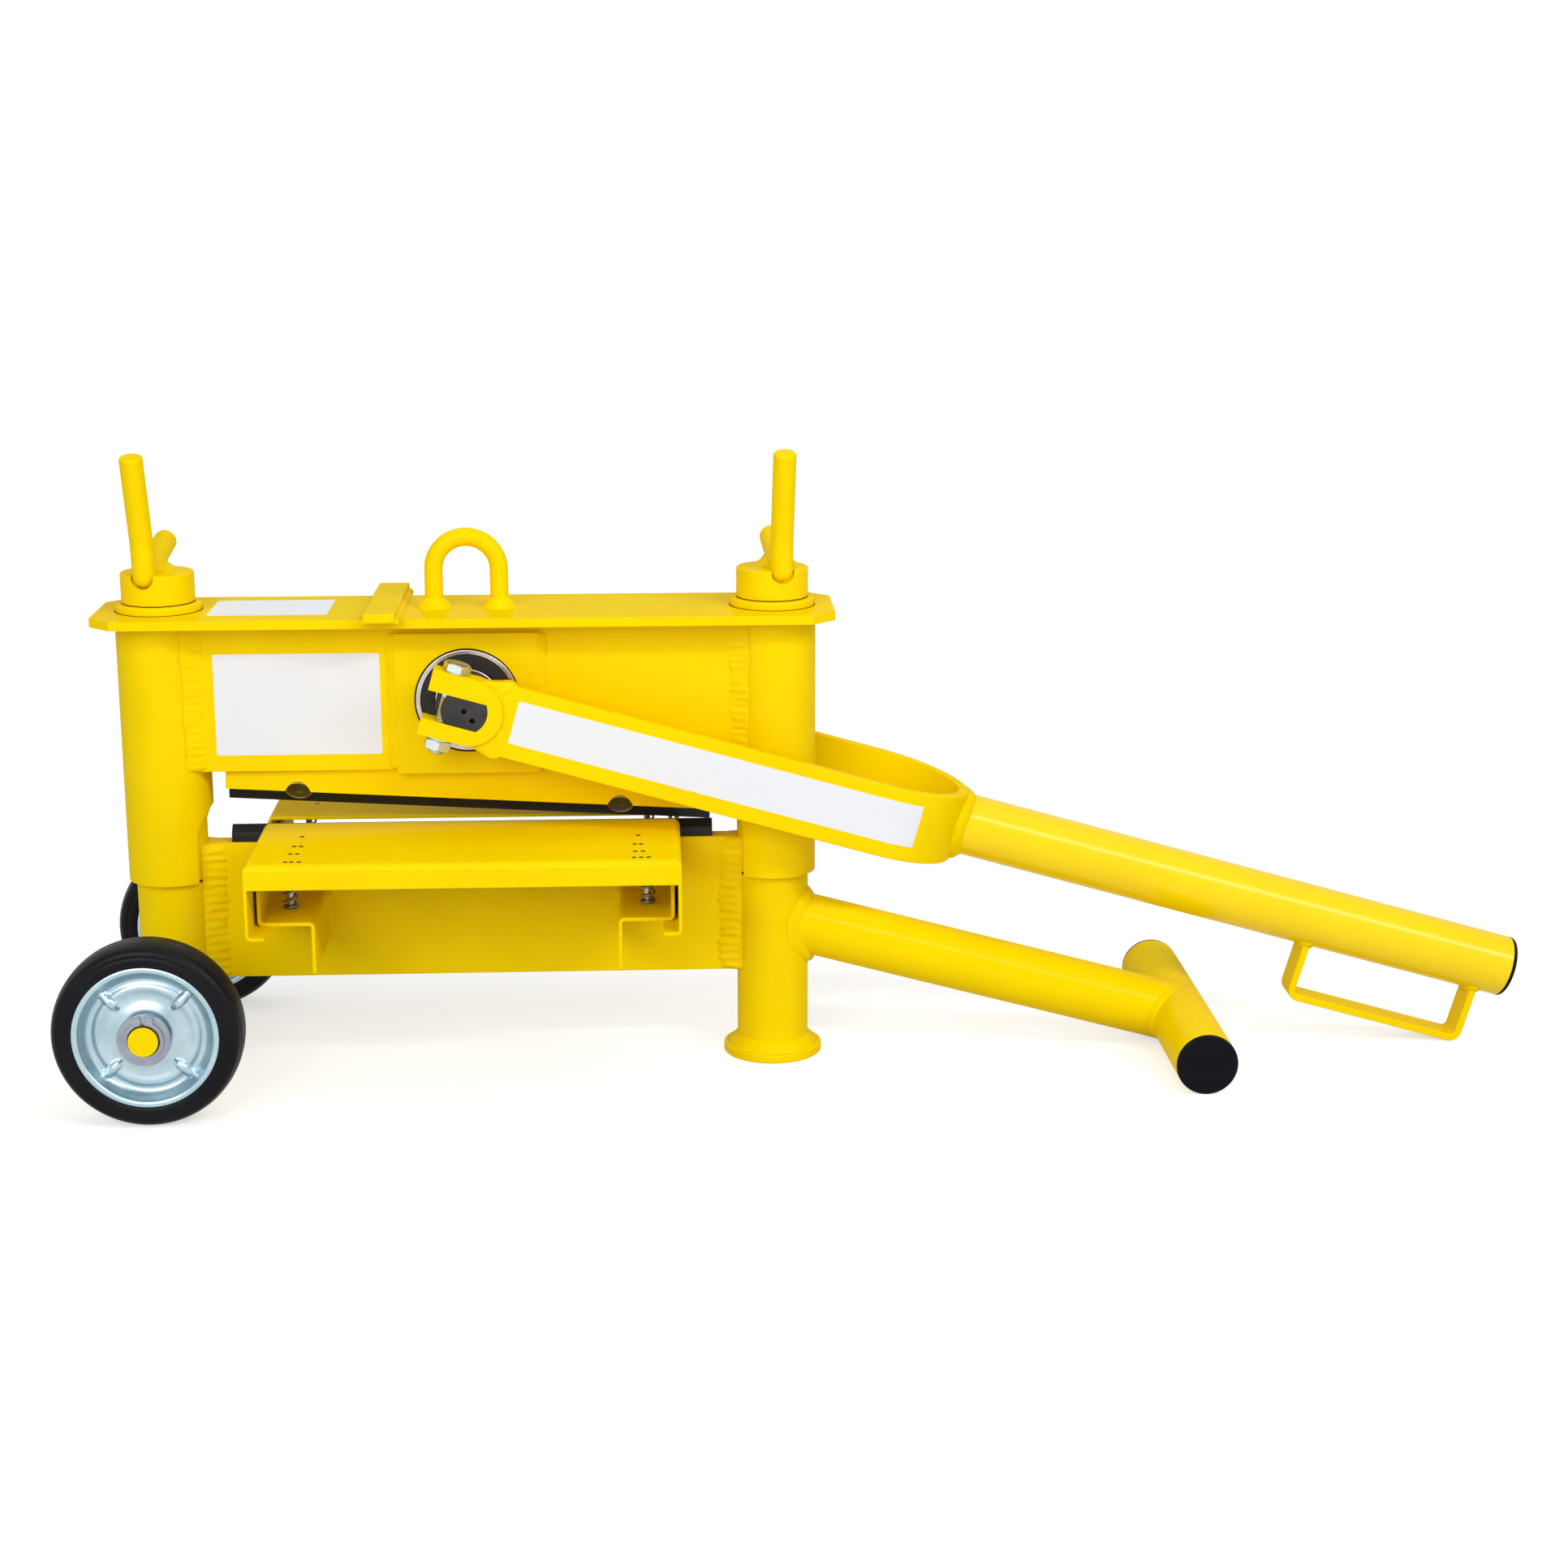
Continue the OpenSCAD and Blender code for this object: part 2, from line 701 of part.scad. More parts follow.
module post_keepers() {
  color(steel) place() for (s = [-1, 1]) translate([s * post_x, 0, post_top - keeper_t]) difference() {
    cylinder(d = post_id, h = keeper_t);
    translate([0, 0, -over]) cylinder(d = keeper_id, h = keeper_t + 2 * over);
  }
}

// Slot that lets a sleeve pass the lower beam, on the right hand sleeve's inner side
module sleeve_slot(low) {
  r = slot_w / 2;
  translate([post_x - sleeve_od, 0, 0]) {
    translate([0, -r, low - over]) cube([sleeve_od, slot_w, slot_high - r - low + over]);
    translate([0, 0, slot_high - r]) rotate([0, 90, 0]) cylinder(r = r, h = sleeve_od);
  }
}

module sleeve() {
  difference() {
    translate([post_x, 0, sleeve_low]) cylinder(d = sleeve_od, h = head_z - sleeve_low);
    translate([post_x, 0, sleeve_low - over]) cylinder(d = sleeve_id, h = head_z - sleeve_low + 2 * over);
    sleeve_slot(sleeve_low);
  }
}

module left_sleeve() { color(paint) place() mirror([1, 0, 0]) sleeve(); }

module right_sleeve() { color(paint) place() sleeve(); }

module guide_bushes() {
  color(bush_grey) place() both_x() for (i = [0, 1]) difference() {
    translate([post_x, 0, bush_low[i]]) cylinder(d = sleeve_id, h = bush_high[i] - bush_low[i]);
    translate([post_x, 0, bush_low[i] - over]) cylinder(d = bush_id, h = bush_high[i] - bush_low[i] + 2 * over);
    sleeve_slot(sleeve_low);
  }
}

module side_plate() {
  difference() {
    translate([-side_half, -side_out, side_low]) cube([2 * side_half, side_t, head_z - side_low]);
    for (s = [-1, 1]) translate([s * post_x, 0, 0]) cylinder(d = sleeve_od, h = head_top);
    translate([0, 0, shaft_z]) bar_y(bearing_od, -bearing_face - over, 0);
  }
}

module front_side_plate() { color(paint) place() side_plate(); }

module rear_side_plate() { color(paint) place() mirror([0, 1, 0]) side_plate(); }

module bearing_plate() {
  difference() {
    translate([-bearing_plate_w / 2, -bearing_face, bearing_plate_low])
      cube([bearing_plate_w, bearing_plate_t, bearing_plate_high - bearing_plate_low]);
    translate([0, 0, shaft_z]) bar_y(bearing_od, -bearing_face - over, 0);
  }
}

module front_bearing_plate() { color(paint) place() bearing_plate(); }

module rear_bearing_plate() { color(paint) place() mirror([0, 1, 0]) bearing_plate(); }

module race(od, id) {
  translate([0, -bearing_out, 0]) rotate([-90, 0, 0]) rotate_extrude() polygon([
    [id / 2, race_bevel], [id / 2 + race_bevel, 0], [od / 2 - race_bevel, 0], [od / 2, race_bevel],
    [od / 2, bearing_w - race_bevel], [od / 2 - race_bevel, bearing_w], [id / 2 + race_bevel, bearing_w],
    [id / 2, bearing_w - race_bevel]
  ]);
}

module bearing_outer_races() {
  color(steel) place() translate([0, 0, shaft_z]) both_y() race(bearing_od, race_out_id);
}

module bearing_inner_races() {
  color(steel) lever_frame() both_y() race(race_in_od, shaft_d);
}

module bearing_seals() {
  color(dark) place() translate([0, 0, shaft_z]) both_y() for (y0 = [-bearing_out + seal_set, -bearing_in - seal_set - seal_t])
    difference() {
      bar_y(race_out_id, y0, y0 + seal_t);
      bar_y(race_in_od + 2 * seal_gap, y0 - over, y0 + seal_t + over);
    }
}

module block_guides() {
  color(steel) place() both_x() translate([block_half + block_play, -side_in, guide_bar_low])
    cube([guide_bar_w, 2 * side_in, guide_bar_high - guide_bar_low]);
}

module top_plate() {
  a = top_len / 2;
  b = top_depth / 2;
  c = top_corner;
  color(paint) place() difference() {
    translate([0, 0, head_z]) linear_extrude(height = top_t) polygon([
      [-a, -b + c], [-a + c, -b], [a - c, -b], [a, -b + c], [a, b - c], [a - c, b], [-a + c, b], [-a, b - c]
    ]);
    for (s = [-1, 1]) translate([s * post_x, 0, head_z - over]) cylinder(d = rod_hole, h = top_t + 2 * over);
  }
}

module lifting_eye() {
  color(paint) place() translate([0, 0, head_top]) {
    for (s = [-1, 1]) translate([s * eye_bend, 0, 0]) cylinder(d = eye_bar, h = eye_leg);
    translate([0, 0, eye_leg]) rotate([90, 0, 0]) rotate_extrude(angle = 180) translate([eye_bend, 0]) circle(d = eye_bar);
  }
}

module lever_stop_bar() {
  color(paint) place() translate([stop_x - stop_w / 2, -stop_len / 2, head_top]) cube([stop_w, stop_len, stop_t]);
}

module lock_rings() {
  color(paint) place() for (s = [-1, 1]) translate([s * post_x, 0, head_top]) rotate_extrude() polygon([
    [rod_hole / 2, 0], [lock_ring_d / 2, 0], [lock_ring_d / 2, lock_ring_h - ring_bevel],
    [lock_ring_d / 2 - ring_bevel, lock_ring_h], [rod_hole / 2, lock_ring_h]
  ]);
}

// Elbow bar of a lock, in the frame of its own post
module handle_bar(side) {
  r = handle_bend;
  translate([side * handle_side, elbow_y, elbow_z]) rotate([handle_lean, 0, 0]) {
    translate([0, 0, r]) cylinder(d = handle_d, h = handle_grip - r);
    translate([0, r, 0]) rotate([-90, 0, 0]) cylinder(d = handle_d, h = handle_stub - r);
    translate([0, r, r]) rotate([0, 90, 0]) rotate_extrude(angle = -90) translate([r, 0]) circle(d = handle_d);
  }
}

module lock_collar(side) {
  difference() {
    translate([0, 0, collar_low]) rotate_extrude() polygon([
      [0, 0], [collar_d / 2 - collar_bevel, 0], [collar_d / 2, collar_bevel], [collar_d / 2, collar_h - collar_bevel],
      [collar_d / 2 - collar_bevel, collar_h], [0, collar_h]
    ]);
    handle_bar(side);
  }
}

module lock_rod() {
  difference() {
    union() {
      translate([0, 0, lock_rod_low]) cylinder(d = lock_rod_d, h = collar_low - lock_rod_low);
      translate([0, 0, rod_flange_z]) cylinder(d = rod_flange_d, h = rod_flange_t);
    }
    for (s = [-1, 1], i = [0 : tooth_count - 1])
      translate([s * lock_rod_d / 2 - tooth_deep, -lock_rod_d, lock_rod_low + tooth_pitch * (i + 0.5)])
        cube([2 * tooth_deep, 2 * lock_rod_d, tooth_gap]);
  }
}

module left_lock() { place() translate([-post_x, 0, 0]) rotate([0, 0, -lock_yaw]) children(); }

module right_lock() { place() translate([post_x, 0, 0]) rotate([0, 0, lock_yaw]) children(); }

module left_lock_collar() { color(paint) left_lock() lock_collar(-1); }

module left_lock_handle() { color(paint) left_lock() handle_bar(-1); }

module left_lock_rod() { color(steel) left_lock() lock_rod(); }

module right_lock_collar() { color(paint) right_lock() lock_collar(1); }

module right_lock_handle() { color(paint) right_lock() handle_bar(1); }

module right_lock_rod() { color(steel) right_lock() lock_rod(); }

module eccentric_shaft() {
  color(dark) {
    lever_frame() {
      bar_y(shaft_d, -fork_in, fork_in);
      both_y() bar_y(spacer_d, -fork_in, -bearing_out - spacer_gap);
      both_y() difference() {
        intersection() {
          bar_y(shaft_d, -fork_out, -fork_in);
          translate([-shaft_d, -fork_out, -slot_drop - shaft_flat / 2]) cube([2 * shaft_d, fork_out, shaft_flat]);
        }
        translate([-shaft_d - shaft_notch, -fork_mid - groove_half, -shaft_d]) cube([shaft_d, 2 * groove_half, 2 * shaft_d]);
      }
    }
    place() translate([ecc_x, 0, shaft_z + ecc_z]) bar_y(ecc_d, -ecc_half, ecc_half);
  }
}

// Clamp fork at the front end of the shaft: open to the back, closed by the bolt
module fork() {
  difference() {
    union() {
      translate([fork_c, 0, 0]) bar_y(fork_h, -fork_out, -fork_in);
      translate([-fork_tail, -fork_out, -fork_h / 2]) cube([fork_tail + fork_c, fork_out - fork_in, fork_h]);
    }
    intersection() {
      bar_y(shaft_d, -fork_out - over, -fork_in + over);
      translate([0, -fork_out - over, slot_low]) cube([shaft_d, fork_out - fork_in + 2 * over, fork_slot]);
    }
    translate([-2 * fork_tail, -fork_out - over, slot_low]) cube([2 * fork_tail, fork_out - fork_in + 2 * over, fork_slot]);
    translate([-clamp_bolt_s, -fork_mid, -fork_h]) cylinder(d = bolt_hole, h = 2 * fork_h);
  }
}

module lever_forks() { color(paint) lever_frame() both_y() fork(); }

module lever_yoke() {
  color(paint) lever_frame() difference() {
    union() {
      for (y = [-yoke_out, yoke_in]) translate([arm_s0, y, -yoke_h / 2]) cube([yoke_bend_s - arm_s0, yoke_t, yoke_h]);
      translate([yoke_bend_s, 0, -yoke_h / 2]) rotate([0, 0, -90]) rotate_extrude(angle = 180)
        translate([yoke_in, 0]) square([yoke_t, yoke_h]);
    }
    translate([fork_c, 0, 0]) bar_y(fork_h, -fork_out, fork_out);
  }
}

module clamp_bolts() {
  color(zinc) lever_frame() both_y() translate([-clamp_bolt_s, -fork_mid, 0]) {
    translate([0, 0, fork_h / 2]) cylinder(d = bolt_hex, h = bolt_head_h, $fn = 6);
    translate([0, 0, -fork_h / 2 - bolt_nut_h - bolt_end]) cylinder(d = clamp_bolt_d, h = fork_h + bolt_nut_h + bolt_end);
  }
}

module clamp_nuts() {
  color(zinc) lever_frame() both_y() translate([-clamp_bolt_s, -fork_mid, -fork_h / 2 - bolt_nut_h]) difference() {
    cylinder(d = bolt_hex, h = bolt_nut_h, $fn = 6);
    translate([0, 0, -over]) cylinder(d = clamp_bolt_d, h = bolt_nut_h + 2 * over);
  }
}

module lever_tube() {
  color(paint) lever_frame() difference() {
    translate([yoke_bend_s, 0, 0]) rotate([0, 90, 0]) cylinder(d = lever_od, h = lever_reach - cap_t - yoke_bend_s);
    translate([yoke_bend_s, 0, 0]) rotate([0, 90, 0]) cylinder(d = lever_od - 2 * lever_wall, h = lever_reach);
    translate([yoke_bend_s, 0, -lever_od]) cylinder(r = yoke_out, h = 2 * lever_od);
  }
}

module lever_end_cap() {
  color(dark) lever_frame() translate([lever_reach - cap_t, 0, 0]) rotate([0, 90, 0]) end_cap(lever_od, lever_wall);
}

module rounded_frame(w, h, r) {
  translate([r, r]) circle(r = r);
  translate([w - r, r]) circle(r = r);
  translate([r, 0]) square([w - 2 * r, h]);
  translate([0, r]) square([w, h - r]);
}

module lever_grip() {
  color(paint) lever_frame() difference() {
    translate([grip_s0, grip_w / 2, -grip_deep]) rotate([90, 0, 0]) linear_extrude(height = grip_w) difference() {
      rounded_frame(grip_s1 - grip_s0, grip_deep, grip_round);
      translate([grip_t, grip_t]) rounded_frame(grip_s1 - grip_s0 - 2 * grip_t, grip_deep, grip_round - grip_t);
    }
    translate([grip_s0 - over, 0, 0]) rotate([0, 90, 0]) cylinder(d = lever_od, h = grip_s1 - grip_s0 + 2 * over);
    translate([grip_s0 - over, -grip_w, 0]) cube([grip_s1 - grip_s0 + 2 * over, 2 * grip_w, grip_deep]);
  }
}

module pressure_block() {
  color(steel) place() difference() {
    union() {
      translate([-block_half, -block_t / 2, block_low]) cube([2 * block_half, block_t, block_high - block_low]);
      translate([-tongue_r, -tongue_t / 2, pivot_z]) cube([2 * tongue_r, tongue_t, block_low - pivot_z + over]);
      translate([0, 0, pivot_z]) bar_y(2 * tongue_r, -tongue_t / 2, tongue_t / 2);
    }
    translate([-window_half, -block_t, window_low]) cube([2 * window_half, 2 * block_t, window_high - window_low]);
    translate([0, 0, pivot_z]) bar_y(pivot_d, -tongue_t, tongue_t);
  }
}

module pivot_pin() { color(steel) place() translate([0, 0, pivot_z]) bar_y(pivot_d, -carrier_t / 2 + pin_short, carrier_t / 2 - pin_short); }

// Slanted axis of a clamp screw at the lower front edge of the blade beam, outward, from the face of its head
module screw_axis(x) {
  translate([x, -carrier_t / 2 + screw_back, -carrier_down - screw_low]) rotate([90 + screw_tilt, 0, 0]) children();
}

module blade_beam() {
  color(paint) carrier_frame() difference() {
    translate([-carrier_len / 2, -carrier_t / 2, -carrier_down]) cube([carrier_len, carrier_t, carrier_down + carrier_up]);
    translate([-blade_len / 2, -upper_blade_w / 2, -carrier_down - over]) cube([blade_len, upper_blade_w, upper_blade_seat + over]);
    translate([-carrier_slot_half, -tongue_t / 2 - slot_play, -carrier_slot_deep])
      cube([2 * carrier_slot_half, tongue_t + 2 * slot_play, carrier_slot_deep + carrier_up + over]);
    bar_y(pivot_d + 2 * pivot_play, -carrier_t, carrier_t);
    for (x = [screw_left_x, screw_right_x]) screw_axis(x) {
      translate([0, 0, -screw_head_h]) cylinder(d = screw_bore, h = screw_bore);
      translate([0, 0, -screw_head_h - screw_shank_len]) cylinder(d = screw_shank_d, h = screw_shank_len + over);
    }
  }
}

module upper_blade() {
  w = upper_blade_w / 2;
  color(dark) carrier_frame() translate([-half_blade, 0, 0]) rotate([90, 0, 90]) linear_extrude(height = blade_len)
    polygon([[-w, -seat_up], [w, -seat_up], [w, -carrier_down], [ridge_w / 2, -edge_drop], [-ridge_w / 2, -edge_drop], [-w, -carrier_down]]);
}

module blade_screws() {
  color(dark) carrier_frame() for (x = [screw_left_x, screw_right_x]) screw_axis(x) {
    translate([0, 0, -screw_head_h]) difference() {
      cylinder(d = screw_head_d, h = screw_head_h);
      translate([0, 0, screw_head_h / 2]) cylinder(d = screw_socket / cos(30), h = screw_head_h, $fn = 6);
    }
    translate([0, 0, -screw_head_h - screw_shank_len]) cylinder(d = screw_shank_d, h = screw_shank_len);
  }
}

// Folded table in front of the blade: top, long flange, end flanges with hooks
module table() {
  r = table_round;
  depth = table_out - table_in;
  difference() {
    union() {
      translate([-table_half, -table_out, table_z - table_lip]) cube([table_len, depth, table_lip]);
      for (s = [-1, 1]) translate([s * (table_half - sheet_t / 2) - sheet_t / 2, -table_out, hook_z]) cube([sheet_t, depth, table_under - hook_z]);
      for (s = [-1, 1]) translate([s * (table_half - table_hook / 2) - table_hook / 2, -table_out, hook_z]) cube([table_hook, depth, sheet_t]);
    }
    translate([-table_half + sheet_t, -table_out + sheet_t, table_z - table_lip - over])
      cube([table_len - 2 * sheet_t, depth, table_lip + over - sheet_t]);
    difference() {
      translate([-table_len, -table_out - over, table_z - r]) cube([2 * table_len, r + over, r + over]);
      translate([0, -table_out + r, table_z - r]) rotate([0, 90, 0]) cylinder(r = r, h = 4 * table_len, center = true);
    }
    for (s = [-1, 1]) difference() {
      translate([s * table_half - r, -2 * table_out, table_z - r]) cube([2 * r, 2 * table_out, 2 * r]);
      translate([s * (table_half - r) - r, -2 * table_out, table_z - 3 * r]) cube([2 * r, 2 * table_out, 2 * r]);
      translate([s * (table_half - r), 0, table_z - r]) bar_y(2 * r, -2 * table_out, 0);
      translate([s * (table_half - 2 * r) - r, -2 * table_out, table_z - 2 * r]) cube([2 * r, 2 * table_out, 4 * r]);
    }
  }
}

module front_table() { color(paint) place() table(); }

module rear_table() { color(paint) place() mirror([0, 1, 0]) table(); }

// Coil path in angle and height: straight foot, bend, curls, bend, straight head
spring_bend = 1.5 * wire_d;
spring_turn = 360 * spring_curls;
bend_steps = 4;
bend_arc = spring_bend / spring_r * 180 / PI;
coil_low = wire_d + spring_bend;
coil_high = spring_len - wire_d - spring_bend;
coil_count = spring_curls * spring_rings;
coil_path = concat(
  [[0, 0]],
  [for (i = [0 : bend_steps]) let (a = 90 * i / (bend_steps + 1)) [bend_arc * (1 - cos(a)), wire_d + spring_bend * sin(a)]],
  [for (i = [0 : coil_count]) [bend_arc + (spring_turn - 2 * bend_arc) * i / coil_count, coil_low + (coil_high - coil_low) * i / coil_count]],
  [for (i = [bend_steps : -1 : 0]) let (a = 90 * i / (bend_steps + 1)) [spring_turn - bend_arc * (1 - cos(a)), spring_len - wire_d - spring_bend * sin(a)]],
  [[spring_turn, spring_len]]
);
coil_points = [for (p = coil_path) [spring_r * cos(p[0]), spring_r * sin(p[0]), p[1]]];
coil_last = len(coil_path) - 1;
function unit(v) = v / norm(v);
function coil_dir(i) = i == 0 || i == coil_last ? [0, 0, 1] : unit(coil_points[i + 1] - coil_points[i - 1]);
function coil_ring(i) = let (
    e = [cos(coil_path[i][0]), sin(coil_path[i][0]), 0],
    t0 = coil_dir(i),
    t = unit(t0 - (t0 * e) * e),
    b = cross(t, e)
  ) [for (k = [0 : spring_sides - 1]) coil_points[i] + wire_d / 2 * (cos(360 * k / spring_sides) * e + sin(360 * k / spring_sides) * b)];
coil_skin = [for (i = [0 : coil_last]) each coil_ring(i)];
n = spring_sides;
coil_faces = concat(
  [for (i = [0 : coil_last - 1], k = [0 : n - 1]) [i * n + k, i * n + (k + 1) % n, (i + 1) * n + k]],
  [for (i = [0 : coil_last - 1], k = [0 : n - 1]) [i * n + (k + 1) % n, (i + 1) * n + (k + 1) % n, (i + 1) * n + k]],
  [for (k = [1 : n - 2]) [0, k + 1, k]],
  [for (k = [1 : n - 2]) [coil_last * n, coil_last * n + k, coil_last * n + k + 1]]
);
coil_least_gap = min([for (i = [0 : coil_last - 8], j = [i + 7 : min(i + 11, coil_last)]) norm(coil_points[i] - coil_points[j])]) - wire_d;
echo(coil_least_gap = coil_least_gap);

module spring_pair() {
  for (s = [-1, 1]) translate([s * spring_x, -spring_y, web_top]) polyhedron(points = coil_skin, faces = coil_faces);
}

module front_table_springs() { color(dark) place() spring_pair(); }

module rear_table_springs() { color(dark) place() mirror([0, 1, 0]) spring_pair(); }

// Wheel pieces around the axle axis, middle of the tyre at Y 0
module wheel_at(side) { place() translate([-post_x, side * wheel_y, wheel_z]) rotate([-90, 0, 0]) children(); }

module tyre() {
  r = wheel_d / 2;
  w = tyre_w / 2;
  lip = rim_d / 2;
  well = rim_well_d / 2;
  deep = r - lip;
  seat = rim_lip_y - rim_lip;
  n = len(tyre_shares);
  rotate_extrude() polygon(concat(
    [[well, -seat], [lip, -seat], [lip, -rim_lip_y]],
    [for (p = tyre_shares) [lip + deep * p[0], -w * p[1]]],
    [for (i = [n - 1 : -1 : 0]) [lip + deep * tyre_shares[i][0], w * tyre_shares[i][1]]],
    [[lip, rim_lip_y], [lip, seat], [well, seat]]
  ));
}

module rim() {
  lip = rim_d / 2;
  well = rim_well_d / 2;
  hub = hub_d / 2;
  t = rim_t;
  y1 = rim_lip_y;
  y0 = rim_disc_y;
  seat = y1 - rim_lip;
  wall = well - t;
  dish = wall - 4 * rim_flare;
  boss = hub + rim_boss;
  nose = boss - rim_boss_rise;
  y2 = y0 + rim_boss_rise;
  side = [
    [well, seat], [lip, seat], [lip, y1], [wall, y1], [wall - rim_flare, y1 - 2 * rim_flare],
    [wall - 2 * rim_flare, y0 + rim_fold], [dish, y0], [boss, y0], [nose, y2], [hub, y2],
    [hub, y2 - t], [nose - rim_thin, y2 - t], [boss - 2 * rim_thin, y0 - t], [dish, y0 - t], [wall, y0 - t]
  ];
  n = len(side);
  rotate_extrude() polygon(concat(
    [for (p = side) [p[0], -p[1]]],
    [for (i = [n - 1 : -1 : 0]) side[i]]
  ));
}

module hub() {
  difference() {
    cylinder(d = hub_d, h = 2 * hub_half, center = true);
    cylinder(d = axle_d + 2 * hub_play, h = 3 * hub_half, center = true);
  }
}

module front_wheel_tyre() { color(dark) wheel_at(-1) tyre(); }

module front_wheel_rim() { color(zinc) wheel_at(-1) rim(); }

module front_wheel_hub() { color(zinc) wheel_at(-1) hub(); }

module rear_wheel_tyre() { color(dark) wheel_at(1) tyre(); }

module rear_wheel_rim() { color(zinc) wheel_at(1) rim(); }

module rear_wheel_hub() { color(zinc) wheel_at(1) hub(); }

echo(x_mid = x_mid, pivot_z = pivot_z, shaft_z = shaft_z, head_z = head_z, tail_reach = tail_reach, yoke_bend_s = yoke_bend_s);

lower_beam();
left_post();
right_post();
foot_disc();
tail_tube();
tail_cross_tube();
tail_end_caps();
wheel_axle();
axle_washers();
axle_circlips();
lower_blade();
front_table_brackets();
rear_table_brackets();
table_guide_bolts();
post_keepers();
left_sleeve();
right_sleeve();
guide_bushes();
front_side_plate();
rear_side_plate();
front_bearing_plate();
rear_bearing_plate();
bearing_outer_races();
bearing_seals();
block_guides();
top_plate();
lifting_eye();
lever_stop_bar();
lock_rings();
left_lock_collar();
left_lock_handle();
left_lock_rod();
right_lock_collar();
right_lock_handle();
right_lock_rod();
eccentric_shaft();
bearing_inner_races();
lever_forks();
lever_yoke();
clamp_bolts();
clamp_nuts();
lever_tube();
lever_end_cap();
lever_grip();
pressure_block();
pivot_pin();
blade_beam();
upper_blade();
blade_screws();
front_table();
rear_table();
front_table_springs();
rear_table_springs();
front_wheel_tyre();
front_wheel_rim();
front_wheel_hub();
rear_wheel_tyre();
rear_wheel_rim();
rear_wheel_hub();
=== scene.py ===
import json
from math import atan, atan2, copysign, cos, hypot, pi, radians, sin, sqrt, tan
import bpy
import bmesh
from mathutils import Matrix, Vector, noise


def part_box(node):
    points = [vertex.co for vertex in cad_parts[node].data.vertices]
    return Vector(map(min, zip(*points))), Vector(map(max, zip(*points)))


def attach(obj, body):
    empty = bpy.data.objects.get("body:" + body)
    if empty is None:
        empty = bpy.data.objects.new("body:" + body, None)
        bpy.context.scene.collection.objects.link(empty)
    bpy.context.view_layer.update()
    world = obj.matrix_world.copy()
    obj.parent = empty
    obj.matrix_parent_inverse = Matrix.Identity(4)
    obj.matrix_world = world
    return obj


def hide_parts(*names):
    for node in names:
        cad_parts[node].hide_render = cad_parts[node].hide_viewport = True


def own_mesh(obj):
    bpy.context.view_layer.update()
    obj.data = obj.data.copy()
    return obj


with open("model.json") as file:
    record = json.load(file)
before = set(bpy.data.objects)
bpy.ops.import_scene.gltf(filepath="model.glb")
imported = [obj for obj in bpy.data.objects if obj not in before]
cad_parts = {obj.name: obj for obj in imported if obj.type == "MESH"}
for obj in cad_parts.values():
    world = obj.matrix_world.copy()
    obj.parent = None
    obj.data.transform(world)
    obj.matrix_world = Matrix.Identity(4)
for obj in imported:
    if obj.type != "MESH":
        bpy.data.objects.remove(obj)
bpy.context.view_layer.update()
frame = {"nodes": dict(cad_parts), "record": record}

scene = bpy.context.scene
nodes = frame["nodes"]

# places are given in millimetres from the middle between the posts, as in the source
base = {"midX": 300.578, "shaftZ": 334.2133, "postX": 266.0, "leverAngle": radians(15.9)}


def at(x, y, z):
    return Vector(((x - base["midX"]) / 1000, y / 1000, z / 1000))


def onLever(s, y, w):
    c, n = cos(base["leverAngle"]), sin(base["leverAngle"])
    return at(s * c + w * n, y, base["shaftZ"] - s * n + w * c)


def leverWay(s, y, w):
    c, n = cos(base["leverAngle"]), sin(base["leverAngle"])
    return Vector((s * c + w * n, y, -s * n + w * c)).normalized()


def addObject(name, data):
    obj = bpy.data.objects.new(name, data)
    scene.collection.objects.link(obj)
    return obj


def smoothFaces(mesh):
    for polygon in mesh.polygons:
        polygon.use_smooth = True


def setInputs(node, values):
    for name, value in values.items():
        node.inputs[name].default_value = value


# materials: each one is a small tree on object coordinates
def newMaterial(name):
    material = bpy.data.materials.new(name)
    material.use_nodes = True
    tree = material.node_tree
    shader = tree.nodes["Principled BSDF"]
    coords = tree.nodes.new("ShaderNodeTexCoord").outputs["Object"]
    return material, tree, shader, coords


def noiseNode(tree, coords, scale, detail=4.0, rough=0.55, stretch=None):
    if stretch:
        mapping = tree.nodes.new("ShaderNodeMapping")
        setInputs(mapping, {"Scale": stretch})
        tree.links.new(coords, mapping.inputs["Vector"])
        coords = mapping.outputs["Vector"]
    node = tree.nodes.new("ShaderNodeTexNoise")
    setInputs(node, {"Scale": scale, "Detail": detail, "Roughness": rough})
    tree.links.new(coords, node.inputs["Vector"])
    return node.outputs["Fac"]


def rampNode(tree, value, stops):
    node = tree.nodes.new("ShaderNodeValToRGB")
    ramp = node.color_ramp
    for element, (place, colour) in zip(ramp.elements, stops):
        element.position = place
        element.color = (*colour, 1)
    tree.links.new(value, node.inputs["Fac"])
    return node.outputs["Color"]


def mixNode(tree, factor, first, colour):
    node = tree.nodes.new("ShaderNodeMix")
    node.data_type = "RGBA"
    tree.links.new(factor, node.inputs[0])
    tree.links.new(first, node.inputs[6])
    node.inputs[7].default_value = (*colour, 1)
    return node.outputs[2]


def mapNode(tree, value, low, high, fromLow=0.0, fromHigh=1.0):
    node = tree.nodes.new("ShaderNodeMapRange")
    setInputs(node, {"From Min": fromLow, "From Max": fromHigh, "To Min": low, "To Max": high})
    tree.links.new(value, node.inputs["Value"])
    return node.outputs["Result"]


def mathNode(tree, kind, first, second):
    node = tree.nodes.new("ShaderNodeMath")
    node.operation = kind
    tree.links.new(first, node.inputs[0])
    tree.links.new(second, node.inputs[1])
    return node.outputs[0]


